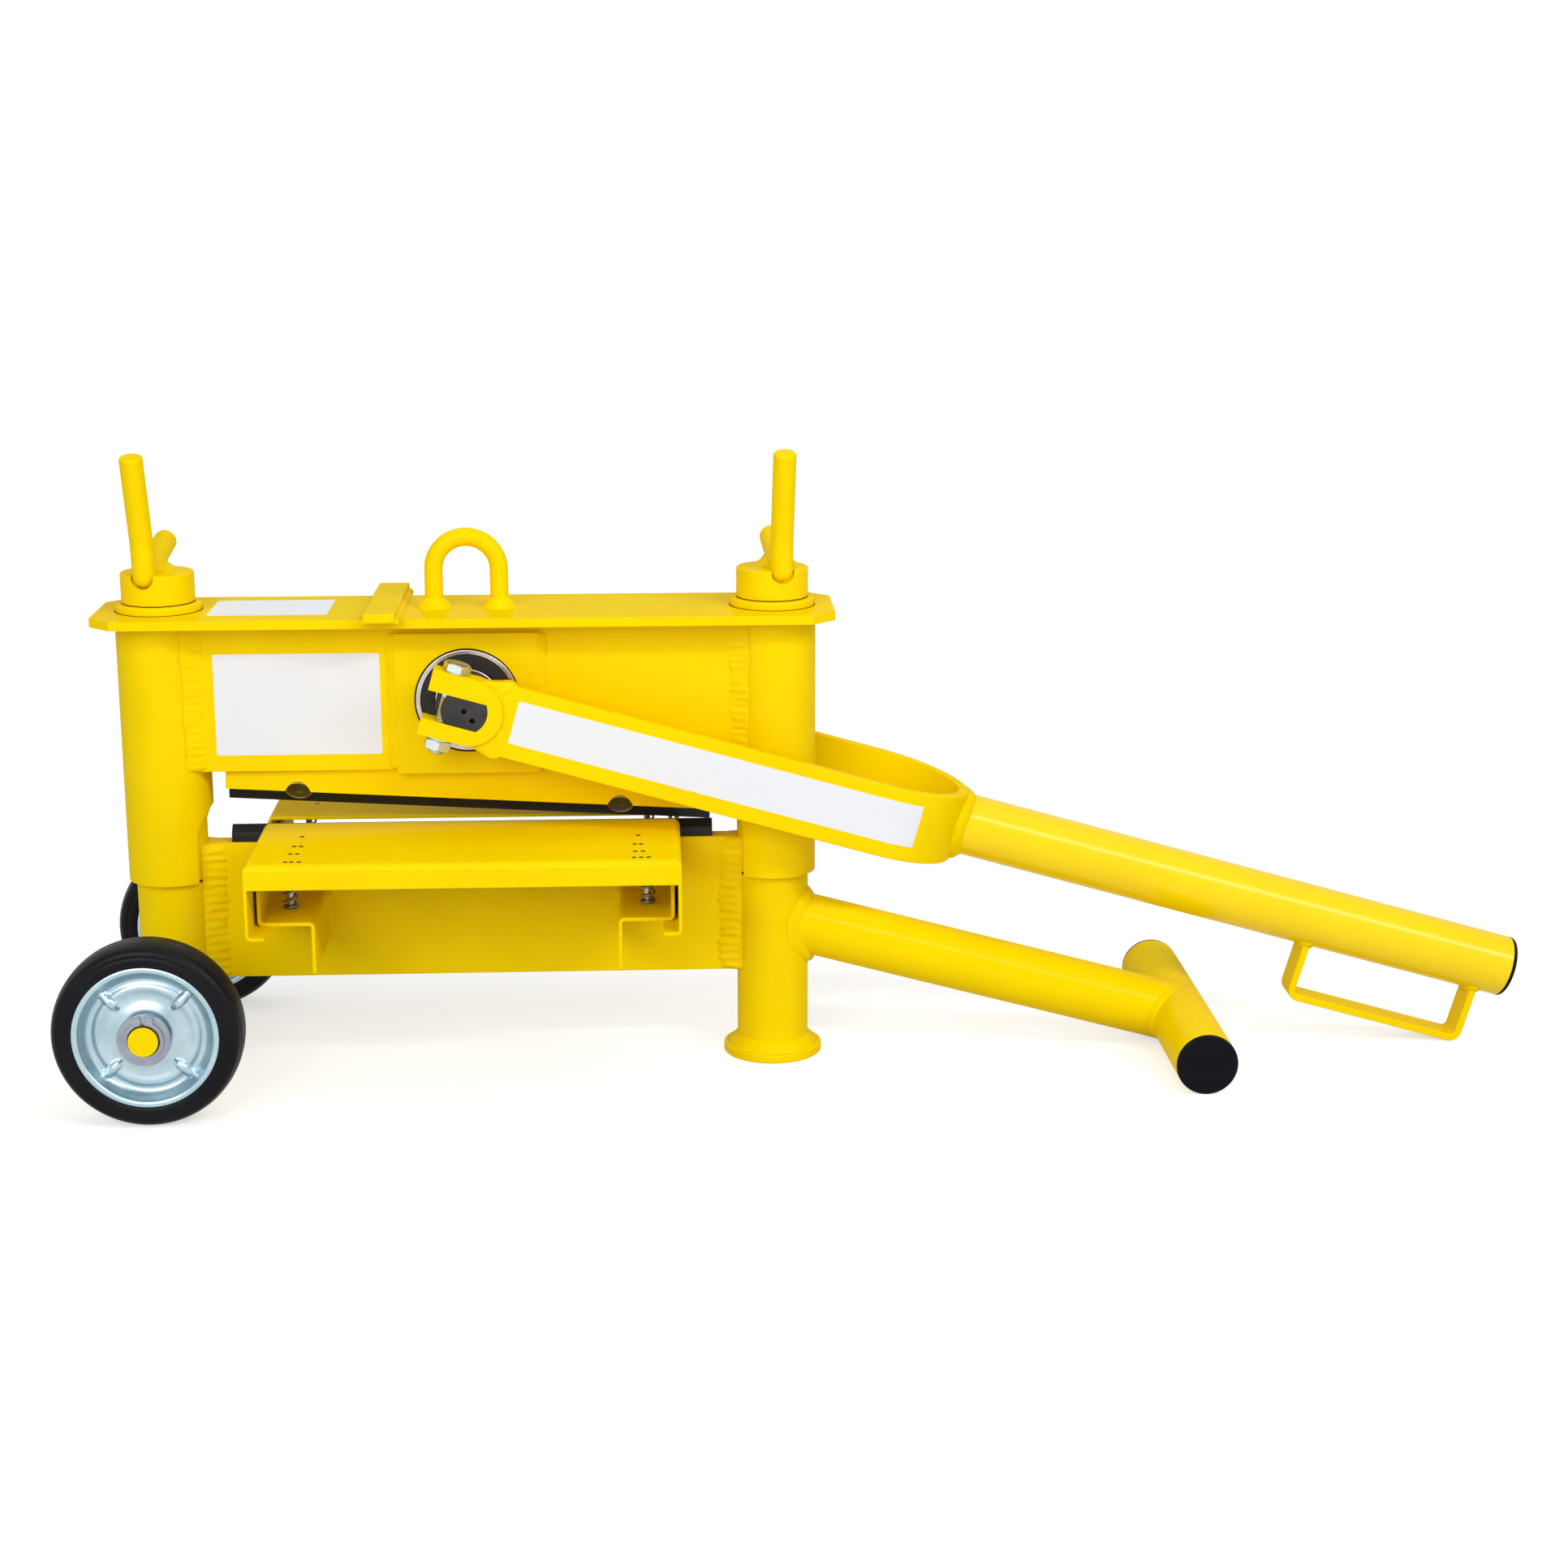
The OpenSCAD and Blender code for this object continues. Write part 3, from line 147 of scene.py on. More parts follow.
def bumpNode(tree, shader, layers):
    normal = None
    for height, strength, distance in layers:
        node = tree.nodes.new("ShaderNodeBump")
        setInputs(node, {"Strength": strength, "Distance": distance})
        tree.links.new(height, node.inputs["Height"])
        if normal:
            tree.links.new(normal, node.inputs["Normal"])
        normal = node.outputs["Normal"]
    tree.links.new(normal, shader.inputs["Normal"])


def paintMaterial(name, colour, deep, rough=(0.24, 0.4), scuff=(0.93, 0.685, 0.02), level=0.0,
                  coat=0.08, gloss=0.17):
    material, tree, shader, coords = newMaterial(name)
    cloud = noiseNode(tree, coords, 9.0, 5.0, 0.6)
    drift = noiseNode(tree, coords, 46.0, 6.0, 0.65)
    body = rampNode(tree, cloud, [(0.3, deep), (0.62, colour)])
    speck = noiseNode(tree, coords, 420.0, 3.0, 0.7)
    dust = rampNode(tree, speck, [(0.68, (0, 0, 0)), (0.78, (0.5, 0.5, 0.5))])
    body = mixNode(tree, dust, body, scuff)
    rub = noiseNode(tree, coords, 30.0, 8.0, 0.72, (1.0, 1.0, 0.25))
    rubbed = rampNode(tree, rub, [(0.66, (0, 0, 0)), (0.76, (0.28, 0.28, 0.28))])
    body = mixNode(tree, rubbed, body, tuple(c * 0.82 for c in colour))
    tree.links.new(body, shader.inputs["Base Color"])
    tree.links.new(mapNode(tree, drift, rough[0], rough[1], 0.3, 0.7), shader.inputs["Roughness"])
    setInputs(shader, {"Specular IOR Level": level, "Coat Weight": coat, "Coat Roughness": gloss})
    peel = noiseNode(tree, coords, 520.0, 2.0, 0.4)
    wave = noiseNode(tree, coords, 60.0, 3.0, 0.5)
    bumpNode(tree, shader, [(peel, 0.10, 0.0006), (wave, 0.12, 0.0012)])
    return material


def metalMaterial(name, colour, tint, rough=(0.22, 0.42), grain=260.0, bump=0.12, stretch=None,
                  metallic=1.0, speck=0.22):
    material, tree, shader, coords = newMaterial(name)
    cloud = noiseNode(tree, coords, 38.0, 5.0, 0.6)
    fine = noiseNode(tree, coords, grain, 4.0, 0.6, stretch)
    body = rampNode(tree, cloud, [(0.32, tint), (0.66, colour)])
    spots = mapNode(tree, fine, 0.0, speck, 0.35, 0.75)
    body = mixNode(tree, spots, body, tuple(c * 0.55 for c in colour))
    tree.links.new(body, shader.inputs["Base Color"])
    tree.links.new(mapNode(tree, fine, rough[0], rough[1], 0.3, 0.7), shader.inputs["Roughness"])
    setInputs(shader, {"Metallic": metallic})
    bumpNode(tree, shader, [(fine, bump, 0.0004)])
    return material


def dullMaterial(name, colour, light, rough, grain, bump, depth, level=0.5):
    material, tree, shader, coords = newMaterial(name)
    cloud = noiseNode(tree, coords, 24.0, 6.0, 0.65)
    fine = noiseNode(tree, coords, grain, 3.0, 0.6)
    body = rampNode(tree, cloud, [(0.3, colour), (0.72, light)])
    tree.links.new(body, shader.inputs["Base Color"])
    tree.links.new(mapNode(tree, cloud, rough[0], rough[1], 0.3, 0.7), shader.inputs["Roughness"])
    setInputs(shader, {"Specular IOR Level": level})
    bumpNode(tree, shader, [(fine, bump, depth)])
    return material


paintYellow = ((0.94, 0.672, 0.0), (0.90, 0.627, 0.0))
yellow = paintMaterial("yellowPaint", *paintYellow)
tubeYellow = paintMaterial("glossTube", *paintYellow, coat=0.5, gloss=0.22)
black = paintMaterial("blackSteel", (0.014, 0.013, 0.013), (0.008, 0.008, 0.008), (0.35, 0.55),
                      (0.04, 0.036, 0.033), 0.2, 0.04)
plastic = dullMaterial("blackPlastic", (0.0016, 0.002, 0.0035), (0.003, 0.004, 0.006), (0.36, 0.48),
                       900.0, 0.3, 0.0004, 0.08)
rubber = dullMaterial("tyreRubber", (0.003, 0.003, 0.004), (0.007, 0.007, 0.009), (0.26, 0.4),
                      650.0, 0.18, 0.0005, 0.11)
seal = dullMaterial("sealRubber", (0.010, 0.010, 0.009), (0.022, 0.021, 0.019), (0.5, 0.65),
                    800.0, 0.25, 0.0005, 0.3)
bush = dullMaterial("bushPlastic", (0.62, 0.60, 0.52), (0.70, 0.68, 0.60), (0.4, 0.55), 800.0, 0.15, 0.0004)
zinc = metalMaterial("zincPlate", (0.45, 0.57, 0.62), (0.34, 0.47, 0.535), (0.27, 0.36), 120.0, 0.015,
                     speck=0.08)
washerZinc = metalMaterial("washerZinc", (0.33, 0.355, 0.41), (0.25, 0.27, 0.32), (0.34, 0.46), 240.0, 0.06)
boltZinc = metalMaterial("zincBolt", (0.66, 0.73, 0.72), (0.50, 0.56, 0.52), (0.24, 0.40), 300.0, 0.08)
bright = metalMaterial("brightSteel", (0.56, 0.50, 0.50), (0.44, 0.39, 0.39), (0.22, 0.42), 300.0, 0.08,
                       (1, 8, 1))
darkSteel = metalMaterial("darkSteel", (0.052, 0.047, 0.048), (0.028, 0.025, 0.026), (0.35, 0.55),
                          260.0, 0.16, metallic=0.85)
springSteel = metalMaterial("springSteel", (0.34, 0.36, 0.38), (0.22, 0.23, 0.25), (0.28, 0.45), 400.0, 0.1)
oliveSteel = dullMaterial("oliveSteel", (0.050, 0.042, 0.008), (0.105, 0.095, 0.018), (0.45, 0.6),
                          500.0, 0.2, 0.0004)
wornSteel = metalMaterial("wornSteel", (0.46, 0.36, 0.27), (0.26, 0.18, 0.12), (0.35, 0.5), 300.0, 0.1)
# painted shade: a near-black finish for the dark rings that stand in for the shade in narrow gaps between
# parts
gapShadeFinish = dullMaterial("gapShadow", (0.012, 0.009, 0.005), (0.026, 0.020, 0.010), (0.6, 0.75),
                       600.0, 0.15, 0.0003, 0.1)
label = dullMaterial("labelFilm", (0.765, 0.785, 0.84), (0.785, 0.805, 0.855), (0.3, 0.36),
                     300.0, 0.03, 0.0002)
# a dark brown finish that colours the whole of each pit on the table tops
pitDark = dullMaterial("darkPitColour", (0.05, 0.03, 0.006), (0.16, 0.10, 0.008), (0.5, 0.7), 900.0, 0.3, 0.0004)
print("stage: materials")

slotMaterial = {
    "yellow_paint": yellow, "black_plastic": plastic, "dark_steel": darkSteel, "zinc_plate": zinc,
    "bright_steel": bright, "spring_steel": springSteel, "tyre_rubber": rubber, "seal_rubber": seal,
    "bush_plastic": bush,
}

# camera at the photograph's viewing angle
camera = addObject("camera", bpy.data.cameras.new("camera"))
camera.data.lens = 63.117
camera.data.sensor_width = 36.0
camera.data.sensor_fit = "HORIZONTAL"
camera.data.clip_end = 60.0
camera.location = (-0.143828, -2.3732, 0.8389)
camera.rotation_euler = (radians(90 - 13.97), radians(0.017), radians(-2.891))
scene.camera = camera
scene.view_settings.view_transform = "Standard"


# 1 where the camera, a mirror or glass looks at a surface, 0 where it only lights the part
def seenNode(tree):
    path = tree.nodes.new("ShaderNodeLightPath")
    seen = path.outputs["Is Camera Ray"]
    for ray in ("Is Glossy Ray", "Is Transmission Ray"):
        seen = mathNode(tree, "MAXIMUM", seen, path.outputs[ray])
    return seen


# pale floor in metres, that sweeps up into a backdrop far behind
floorSize = {"half": 9.0, "back": 7.0, "bend": 2.5, "high": 6.0, "steps": 16, "grey": (0.64, 0.66),
             "near": 0.9, "far": 3.2, "white": (0.58, 0.85)}


def makeFloor(s):
    flat, bend = s["back"] - s["bend"], s["bend"]
    line = [(-s["half"], 0.0), (flat, 0.0)]
    for i in range(1, s["steps"] + 1):
        t = pi / 2 * i / s["steps"]
        line.append((flat + bend * sin(t), bend - bend * cos(t)))
    line.append((s["back"], s["high"]))
    verts, faces = [], []
    for y, z in line:
        verts += [(-s["half"], y, z), (s["half"], y, z)]
    for i in range(len(line) - 1):
        faces.append((2 * i, 2 * i + 1, 2 * i + 3, 2 * i + 2))
    mesh = bpy.data.meshes.new("floor")
    mesh.from_pydata(verts, [], faces)
    smoothFaces(mesh)
    obj = addObject("floor", mesh)
    material, tree, shader, coords = newMaterial("paleFloor")
    cloud = noiseNode(tree, coords, 1.4, 3.0, 0.5)
    dark, pale = s["grey"]
    grey = rampNode(tree, cloud, [(0.3, (dark, dark, dark)), (0.7, (pale, pale, pale))])
    tree.links.new(grey, shader.inputs["Base Color"])
    setInputs(shader, {"Roughness": 0.9, "Specular IOR Level": 0.1, "Emission Color": (1, 1, 1, 1)})
    away = tree.nodes.new("ShaderNodeVectorMath")
    away.operation = "LENGTH"
    tree.links.new(coords, away.inputs[0])
    white = mapNode(tree, away.outputs["Value"], *s["white"], s["near"], s["far"])
    tree.links.new(mathNode(tree, "MULTIPLY", white, seenNode(tree)), shader.inputs["Emission Strength"])
    mesh.materials.append(material)


makeFloor(floorSize)


def softLight(name, place, target, size, power, roll=0.0):
    data = bpy.data.lights.new(name, "AREA")
    data.shape = "RECTANGLE"
    data.size, data.size_y = size
    data.energy = power
    obj = addObject(name, data)
    obj.location = place
    obj.rotation_euler = (Vector(target) - Vector(place)).to_track_quat("-Z", "Y").to_euler()
    obj.rotation_euler.rotate_axis("Z", roll)


softLight("overhead", (0.1, 0.1, 2.6), (0.0, 0.0, 0.2), (3.0, 2.4), 14.5)
softLight("key", (-1.2, -2.7, 1.55), (0.0, 0.0, 0.25), (2.0, 1.5), 45)
softLight("strip", (1.57, -1.75, 1.92), (0.3, 0.0, 0.2), (2.0, 0.26), 31, radians(-22))
softLight("fill", (2.0, -2.4, 1.0), (0.1, 0.0, 0.2), (1.6, 1.4), 3)
softLight("rear", (0.4, 2.6, 1.8), (0.0, 0.0, 0.2), (2.4, 1.4), 4)

# the surroundings look white, and light the scene more softly than they look
scene.world = bpy.data.worlds.new("studio")
scene.world.use_nodes = True
studio = scene.world.node_tree
sky = studio.nodes["Background"]
setInputs(sky, {"Color": (1, 1, 1, 1)})
studio.links.new(mapNode(studio, seenNode(studio), 0.38, 1.0), sky.inputs["Strength"])
print("stage: camera and light")


# shared mesh helpers
def dress(obj, material, body, slotName, replaced=(), smooth=40):
    mesh = obj.data
    if material:
        mesh.materials.clear()
        mesh.materials.append(material)
    if smooth:
        smoothFaces(mesh)
        mesh.set_sharp_from_angle(angle=radians(smooth))
    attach(obj, body)
    if replaced:
        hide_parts(*replaced)


def meshObject(name, verts, faces):
    mesh = bpy.data.meshes.new(name)
    mesh.from_pydata([tuple(v) for v in verts], [], faces)
    mesh.validate()
    bm = bmesh.new()
    bm.from_mesh(mesh)
    bmesh.ops.remove_doubles(bm, verts=bm.verts, dist=1e-7)
    bmesh.ops.recalc_face_normals(bm, faces=bm.faces)
    bm.to_mesh(mesh)
    bm.free()
    return addObject(name, mesh)


def circle(n):
    return [2 * pi * i / n for i in range(n)]


# faces between rows of n points each, and the two ends of such a run of rows
def skin(start, rows, n, closed=False):
    faces = []
    for i in range(rows if closed else rows - 1):
        one, two = start + i * n, start + (i + 1) % rows * n
        faces += [(one + k, one + (k + 1) % n, two + (k + 1) % n, two + k) for k in range(n)]
    return faces


def endCaps(start, rows, n):
    last = start + (rows - 1) * n
    return [tuple(range(start, start + n)), tuple(range(last, last + n))[::-1]]


class Solid:
    def __init__(self):
        self.verts, self.faces = [], []

    def rings(self, rings):
        start, n = len(self.verts), len(rings[0])
        for ring in rings:
            self.verts += ring
        self.faces += skin(start, len(rings), n) + endCaps(start, len(rings), n)

    def hoop(self, line, place, n=96):
        start = len(self.verts)
        for f in circle(n):
            self.verts += [place(r * cos(f), r * sin(f), w) for r, w in line]
        self.faces += skin(start, n, len(line), True)

    def build(self, name):
        return meshObject(name, self.verts, self.faces)


def roundRings(place, line, n=40):
    return [[place(r * cos(f), r * sin(f), w) for f in circle(n)] for r, w in line]


def settle(obj):
    graph = bpy.context.evaluated_depsgraph_get()
    mesh = bpy.data.meshes.new_from_object(obj.evaluated_get(graph))
    obj.modifiers.clear()
    obj.data = mesh


def carve(obj, cutter):
    cut = obj.modifiers.new("cut", "BOOLEAN")
    cut.operation = "DIFFERENCE"
    cut.object = cutter
    cut.solver = "EXACT"
    settle(obj)
    bpy.data.objects.remove(cutter)


def copyNode(node):
    bm = bmesh.new()
    bm.from_mesh(nodes[node].data)
    bmesh.ops.remove_doubles(bm, verts=bm.verts, dist=3e-6)
    bmesh.ops.dissolve_limit(bm, angle_limit=radians(0.6), verts=bm.verts, edges=bm.edges)
    mesh = bpy.data.meshes.new(node + "_dressed")
    bm.to_mesh(mesh)
    bm.free()
    for name in ("custom_normal", "sharp_edge", "sharp_face"):
        if name in mesh.attributes:
            mesh.attributes.remove(mesh.attributes[name])
    return addObject(node + "_dressed", mesh)


def roundEdges(obj, width, segments=2, angle=30):
    smoothFaces(obj.data)
    edge = obj.modifiers.new("edge", "BEVEL")
    edge.width = width / 1000
    edge.segments = segments
    edge.limit_method = "ANGLE"
    edge.angle_limit = radians(angle)
    edge.miter_outer = "MITER_ARC"
    flat = obj.modifiers.new("flat", "WEIGHTED_NORMAL")
    flat.keep_sharp = True
    flat.weight = 60
    settle(obj)


# plates, bars and pressed sheet keep their solids' shape and get rolled or broken edges
edgeSize = {
    "top_plate": (1.4, 3), "front_side_plate": (0.8, 2), "rear_side_plate": (0.8, 2),
    "front_bearing_plate": (1.0, 2), "rear_bearing_plate": (1.0, 2), "lever_stop_bar": (1.6, 3),
    "lever_yoke": (1.3, 3), "lever_forks": (1.6, 3), "lower_beam": (1.2, 2), "foot_disc": (1.6, 3),
    "front_table_brackets": (0.7, 2), "rear_table_brackets": (0.7, 2), "front_table": (0.7, 2),
    "rear_table": (0.7, 2), "blade_beam": (1.2, 2), "pressure_block": (1.0, 2), "block_guides": (0.8, 2),
    "lever_grip": (1.4, 3), "left_sleeve": (0.9, 2), "right_sleeve": (0.9, 2), "lower_blade": (0.5, 2),
    "upper_blade": (0.4, 2), "left_lock_handle": (2.4, 3), "right_lock_handle": (2.4, 3),
    "left_lock_collar": (0.9, 2), "right_lock_collar": (0.9, 2), "lock_rings": (0.9, 2),
    "bearing_outer_races": (0.4, 2), "bearing_inner_races": (0.4, 2), "wheel_axle": (1.0, 2),
    "axle_washers": (0.5, 2), "axle_circlips": (0.3, 2), "tail_cross_tube": (0.6, 2),
    "tail_end_caps": (1.2, 3), "lever_end_cap": (1.2, 3), "lever_tube": (0.6, 2),
}
slotOf = {row["node"]: row["material_slot"] for row in frame["record"]["subparts"]}
bodyOf = {node: body for body, held in frame["record"]["behaviour"]["bodies"].items() for node in held}
nodeMaterial = {"lower_blade": black, "upper_blade": black, "pivot_pin": yellow, "lever_tube": tubeYellow,
                "axle_washers": washerZinc, "axle_circlips": washerZinc}


# the lips under the table ends are bent, not cut: round outside and inside
hookSize = {"low": 0.1547, "sheet": 0.003, "half": 0.183, "outer": 5.0, "inner": 2.0, "near": 2e-4,
            "long": 0.05}


def bendHooks(obj, s):
    bm = bmesh.new()
    bm.from_mesh(obj.data)
    outside = (s["half"], s["low"], s["outer"])
    inside = (s["half"] - s["sheet"], s["low"] + s["sheet"], s["inner"])
    for x, z, bend in (outside, inside):
        def onLip(p):
            return abs(abs(p.x + base["midX"] / 1000) - x) < s["near"] and abs(p.z - z) < s["near"]
        edges = []
        for edge in bm.edges:
            one, two = (v.co for v in edge.verts)
            if onLip(one) and onLip(two) and abs(one.y - two.y) > s["long"]:
                edges.append(edge)
        bmesh.ops.bevel(bm, geom=edges, offset=bend / 1000, offset_type="OFFSET", segments=6, profile=0.5,
                        affect="EDGES")
    bm.to_mesh(obj.data)
    bm.free()


# each lock handle lies in a notch of its collar, which is open to the front
elbowSize = {"side": 5.9, "y": -15.6, "z": 442.9, "lean": radians(14.5), "yaw": radians(4.5),
             "bar": 10.0, "heel": (-20.8, 443.4), "merge": (-23.4, 474.0), "room": 0.2, "front": -36.0,
             "behind": 2.0, "sunk": 0.1, "turn": 48, "steps": 10, "round": 0.98}
lockSides = (("left_lock", -1), ("right_lock", 1))


def onLock(x, y, z, side, s):
    c, d = cos(s["yaw"] * side), sin(s["yaw"] * side)
    x += side * s["side"]
    return at(side * base["postX"] + x * c - y * d, x * d + y * c, z)


def notchCollar(obj, side, s):
    r, notch = s["bar"] + s["room"], Solid()
    notch.rings([[onLock(r * cos(f), y, s["z"] + r * sin(f), side, s) for f in circle(s["turn"])]
                 for y in (s["front"], s["y"] + s["behind"])])
    carve(obj, notch.build("notch"))


def makeElbows(s):
    (y0, z0), (y1, z1) = s["heel"], s["merge"]
    tilt = atan2(y1 - y0, z1 - z0)
    c, d, r = cos(tilt), sin(tilt), s["bar"] - s["sunk"]
    turns = [pi / 2 * (1 - i / s["steps"]) * s["round"] for i in range(s["steps"] + 1)]
    line = [(r * cos(f), -r * sin(f)) for f in turns] + [(r, hypot(y1 - y0, z1 - z0))]
    for name, side in lockSides:
        elbow = Solid()
        elbow.rings([[onLock(w * sin(g), y0 + w * cos(g) * c + h * d,
                             z0 - w * cos(g) * d + h * c, side, s) for g in circle(s["turn"])]
                     for w, h in line])
        dress(elbow.build(name + "_elbow"), yellow, name, "yellow_paint", (), 60)


def roundPlates():
    for node, (width, segments) in edgeSize.items():
        obj = copyNode(node)
        if node in ("front_table", "rear_table"):
            bendHooks(obj, hookSize)
        if node in ("left_lock_collar", "right_lock_collar"):
            notchCollar(obj, -1 if node.startswith("left") else 1, elbowSize)
        roundEdges(obj, width, segments)
        dress(obj, nodeMaterial.get(node, slotMaterial[slotOf[node]]), bodyOf[node], slotOf[node], (node,), 0)


roundPlates()
makeElbows(elbowSize)
print("stage: rounded edges")


def tangent(way, normal):
    return (way - normal * way.dot(normal)).normalized()


# weld beads: a rippled fillet along a path of (corner, way on one face, way on the other)
beadForm = {"columns": 8, "tuck": 0.35, "root": 0.6, "end": 0.55, "taper": 0.2}


class Beads(Solid):
    def __init__(self, name, body):
        super().__init__()
        self.name, self.body, self.count = name, body, 0

    def add(self, path, legs, closed=False, pitch=4.2, full=1.35, rough=0.11, wave=0.05):
        self.count += 1
        s, run, start, total = beadForm, 0.0, len(self.verts), len(path)
        for i, (p, a, b) in enumerate(path):
            legA, legB = legs[i] if isinstance(legs, list) else legs
            if i:
                run += (p - path[i - 1][0]).length * 1000
            ends = 1.0 if closed else min(1.0, s["end"] + s["taper"] * min(i, total - 1 - i))
            for k in range(s["columns"]):
                t = k / (s["columns"] - 1)
                u, crown = t * pi / 2, sin(pi * t)
                ripple = sin(2 * pi * run / pitch - 1.9 * crown)
                wander = noise.noise(Vector((run / 11 + 13.7 * self.count, t * 2.2, 0.37 * self.count)))
                swirl = noise.noise(Vector((run / 3.4 + 7.1 * self.count, t * 3.6, 1.7 * self.count)))
                grow = ends * (1 + rough * wander + wave * (0.7 * ripple + 1.5 * swirl) * crown)
                q = p + a * (legA / 1000 * grow * cos(u) ** full)
                q += b * (legB / 1000 * grow * sin(u) ** full)
                self.verts.append(q - (b if t < 0.5 else a) * (s["tuck"] / 1000 * (1 - crown)))
            self.verts.append(p - (a + b) * (s["root"] / 1000))
        ring = s["columns"] + 1
        self.faces += skin(start, total, ring, closed)
        if not closed:
            self.faces += endCaps(start, total, ring)

    def line(self, p, q, a, b, legs, step=1.3, **more):
        n = max(8, int((q - p).length * 1000 / step))
        a, b = Vector(a).normalized(), Vector(b).normalized()
        self.add([(p.lerp(q, i / n), a, b) for i in range(n + 1)], legs, **more)

    def done(self):
        dress(self.build(self.name), yellow, self.body, "yellow_paint", (), 75)


def ringPath(centre, radius, up, n, start=0.0, stop=2 * pi):
    path = []
    closed = abs(stop - start - 2 * pi) < 1e-6
    for i in range(n if closed else n + 1):
        f = start + (stop - start) * i / n
        out = Vector((cos(f), sin(f), 0))
        path.append((centre + out * radius / 1000, out, Vector((0, 0, up))))
    return path


# webs and shelf of the table brackets: from x, to x, then their height
frameSize = {"post": 31.75, "beamHalf": 10.0, "beamLow": 79.5, "beamHigh": 202.5, "disc": 8.0, "tail": 27.0,
             "tailHigh": 127.0, "tailLow": 27.0, "crossX": 637.117, "crossGap": 0.2, "crossLean": 0.25,
             "axle": 12.5, "axleZ": 80.0, "shelf": (134.0, 172.0, 161.0),
             "webs": ((129.0, 132.0, 118.0, 156.0), (174.0, 177.0, 163.0, 196.0))}
frameBead = {"beam": (18.0, 6.5), "foot": (8.5, 9.0), "tail": (6.0, 6.5), "cross": (5.0, 5.0),
             "axle": (5.0, 5.0), "bracket": (3.5, 3.5)}


def tailWelds(w, s, h):
    px, r, tube = base["postX"], h["post"], h["tail"]
    tilt = atan((h["tailHigh"] - h["tailLow"]) / (h["crossX"] - px))
    d, u = Vector((cos(tilt), 0, -sin(tilt))), Vector((0, 1, 0))
    v = Vector((sin(tilt), 0, cos(tilt)))
    length = (h["crossX"] - px) / cos(tilt)
    saddle, cross, crossLegs = [], [], []
    for f in circle(140):
        q = u * cos(f) + v * sin(f)
        t = (sqrt(r * r - (tube * q.y) ** 2) - tube * q.x) / d.x
        p = q * tube + d * t
        normal = Vector((p.x, p.y, 0)).normalized()
        saddle.append((at(px + p.x, p.y, h["tailHigh"] + p.z), d, tangent(q, normal)))
        share = abs(cos(f))
        t = length - tube * share - h["crossGap"]
        p = q * tube + d * t
        normal = ((t - length) * d + tube * sin(f) * v).normalized()
        lean = u * copysign(h["crossLean"], cos(f)) * (1 - share)
        b = (q - normal * q.dot(normal) + lean).normalized()
        cross.append((at(px + p.x, p.y, h["tailHigh"] + p.z), -d, b))
        crossLegs.append((s["cross"][0] * (0.65 + 0.35 * share), s["cross"][1] * (0.45 + 0.55 * share)))
    w.add(saddle, s["tail"], closed=True)
    w.add(cross, crossLegs, closed=True)


def frameWelds(s, h):
    w = Beads("frame_welds", "frame")
    px, r, half = base["postX"], h["post"], h["beamHalf"]
    reach = sqrt(r * r - half * half)
    for side in (-1, 1):
        for face in (-1, 1):
            out = Vector((reach / r * -side, face * half / r, 0))
            low, high = (at(side * (px - reach), face * half, z) for z in (h["beamLow"], h["beamHigh"]))
            w.line(low, high, (-side, 0, 0), tangent(Vector((0, face, 0)), out), s["beam"],
                   pitch=7.5, full=1.6, rough=0.16, wave=0.2)
    w.add(ringPath(at(px, 0, h["disc"]), r, 1, 150), s["foot"], closed=True, full=1.75, rough=0.07)
    tailWelds(w, s, h)
    for face in (-1, 1):
        path, out = [], Vector((0, face, 0))
        for f in circle(80):
            q = Vector((cos(f), 0, sin(f)))
            x = h["axle"] * q.x
            y = face * sqrt(r * r - x ** 2)
            way = tangent(q, Vector((x, y, 0)).normalized())
            path.append((at(x - px, y, h["axleZ"] + h["axle"] * q.z), out, way))
        w.add(path, s["axle"], closed=True)
        for side in (-1, 1):
            for x0, x1, z0, z1 in h["webs"]:
                for x, way in ((x0, -1), (x1, 1)):
                    low, high = (at(side * x, face * half, z) for z in (z0, z1))
                    w.line(low, high, (side * way, 0, 0), out, s["bracket"])
            x0, x1, z = h["shelf"]
            w.line(at(side * x0, face * half, z), at(side * x1, face * half, z), (0, 0, 1), out, s["bracket"])
    w.done()


frameWelds(frameBead, frameSize)

headSize = {"face": 26.5, "low": 271.5, "high": 402.7, "top": 410.7, "sleeve": 38.05, "bearing": 62.0,
            "bearingHigh": 393.2, "sleeveTurn": radians(120), "eyeX": 28.3, "eyeBar": 8.0,
            "topRuns": ((-228, -150), (-120, -66), (66, 120), (150, 228)),
            "stopX": -69.5, "stopHalf": 13.5, "stopReach": 78.0}
headBead = {"groove": (12.0, 7.5), "plate": (8.5, 6.0), "top": (5.0, 5.0), "eye": (7.5, 9.0),
            "stop": (4.0, 4.5), "grooveEnd": 0.5, "plateEnd": 0.6}


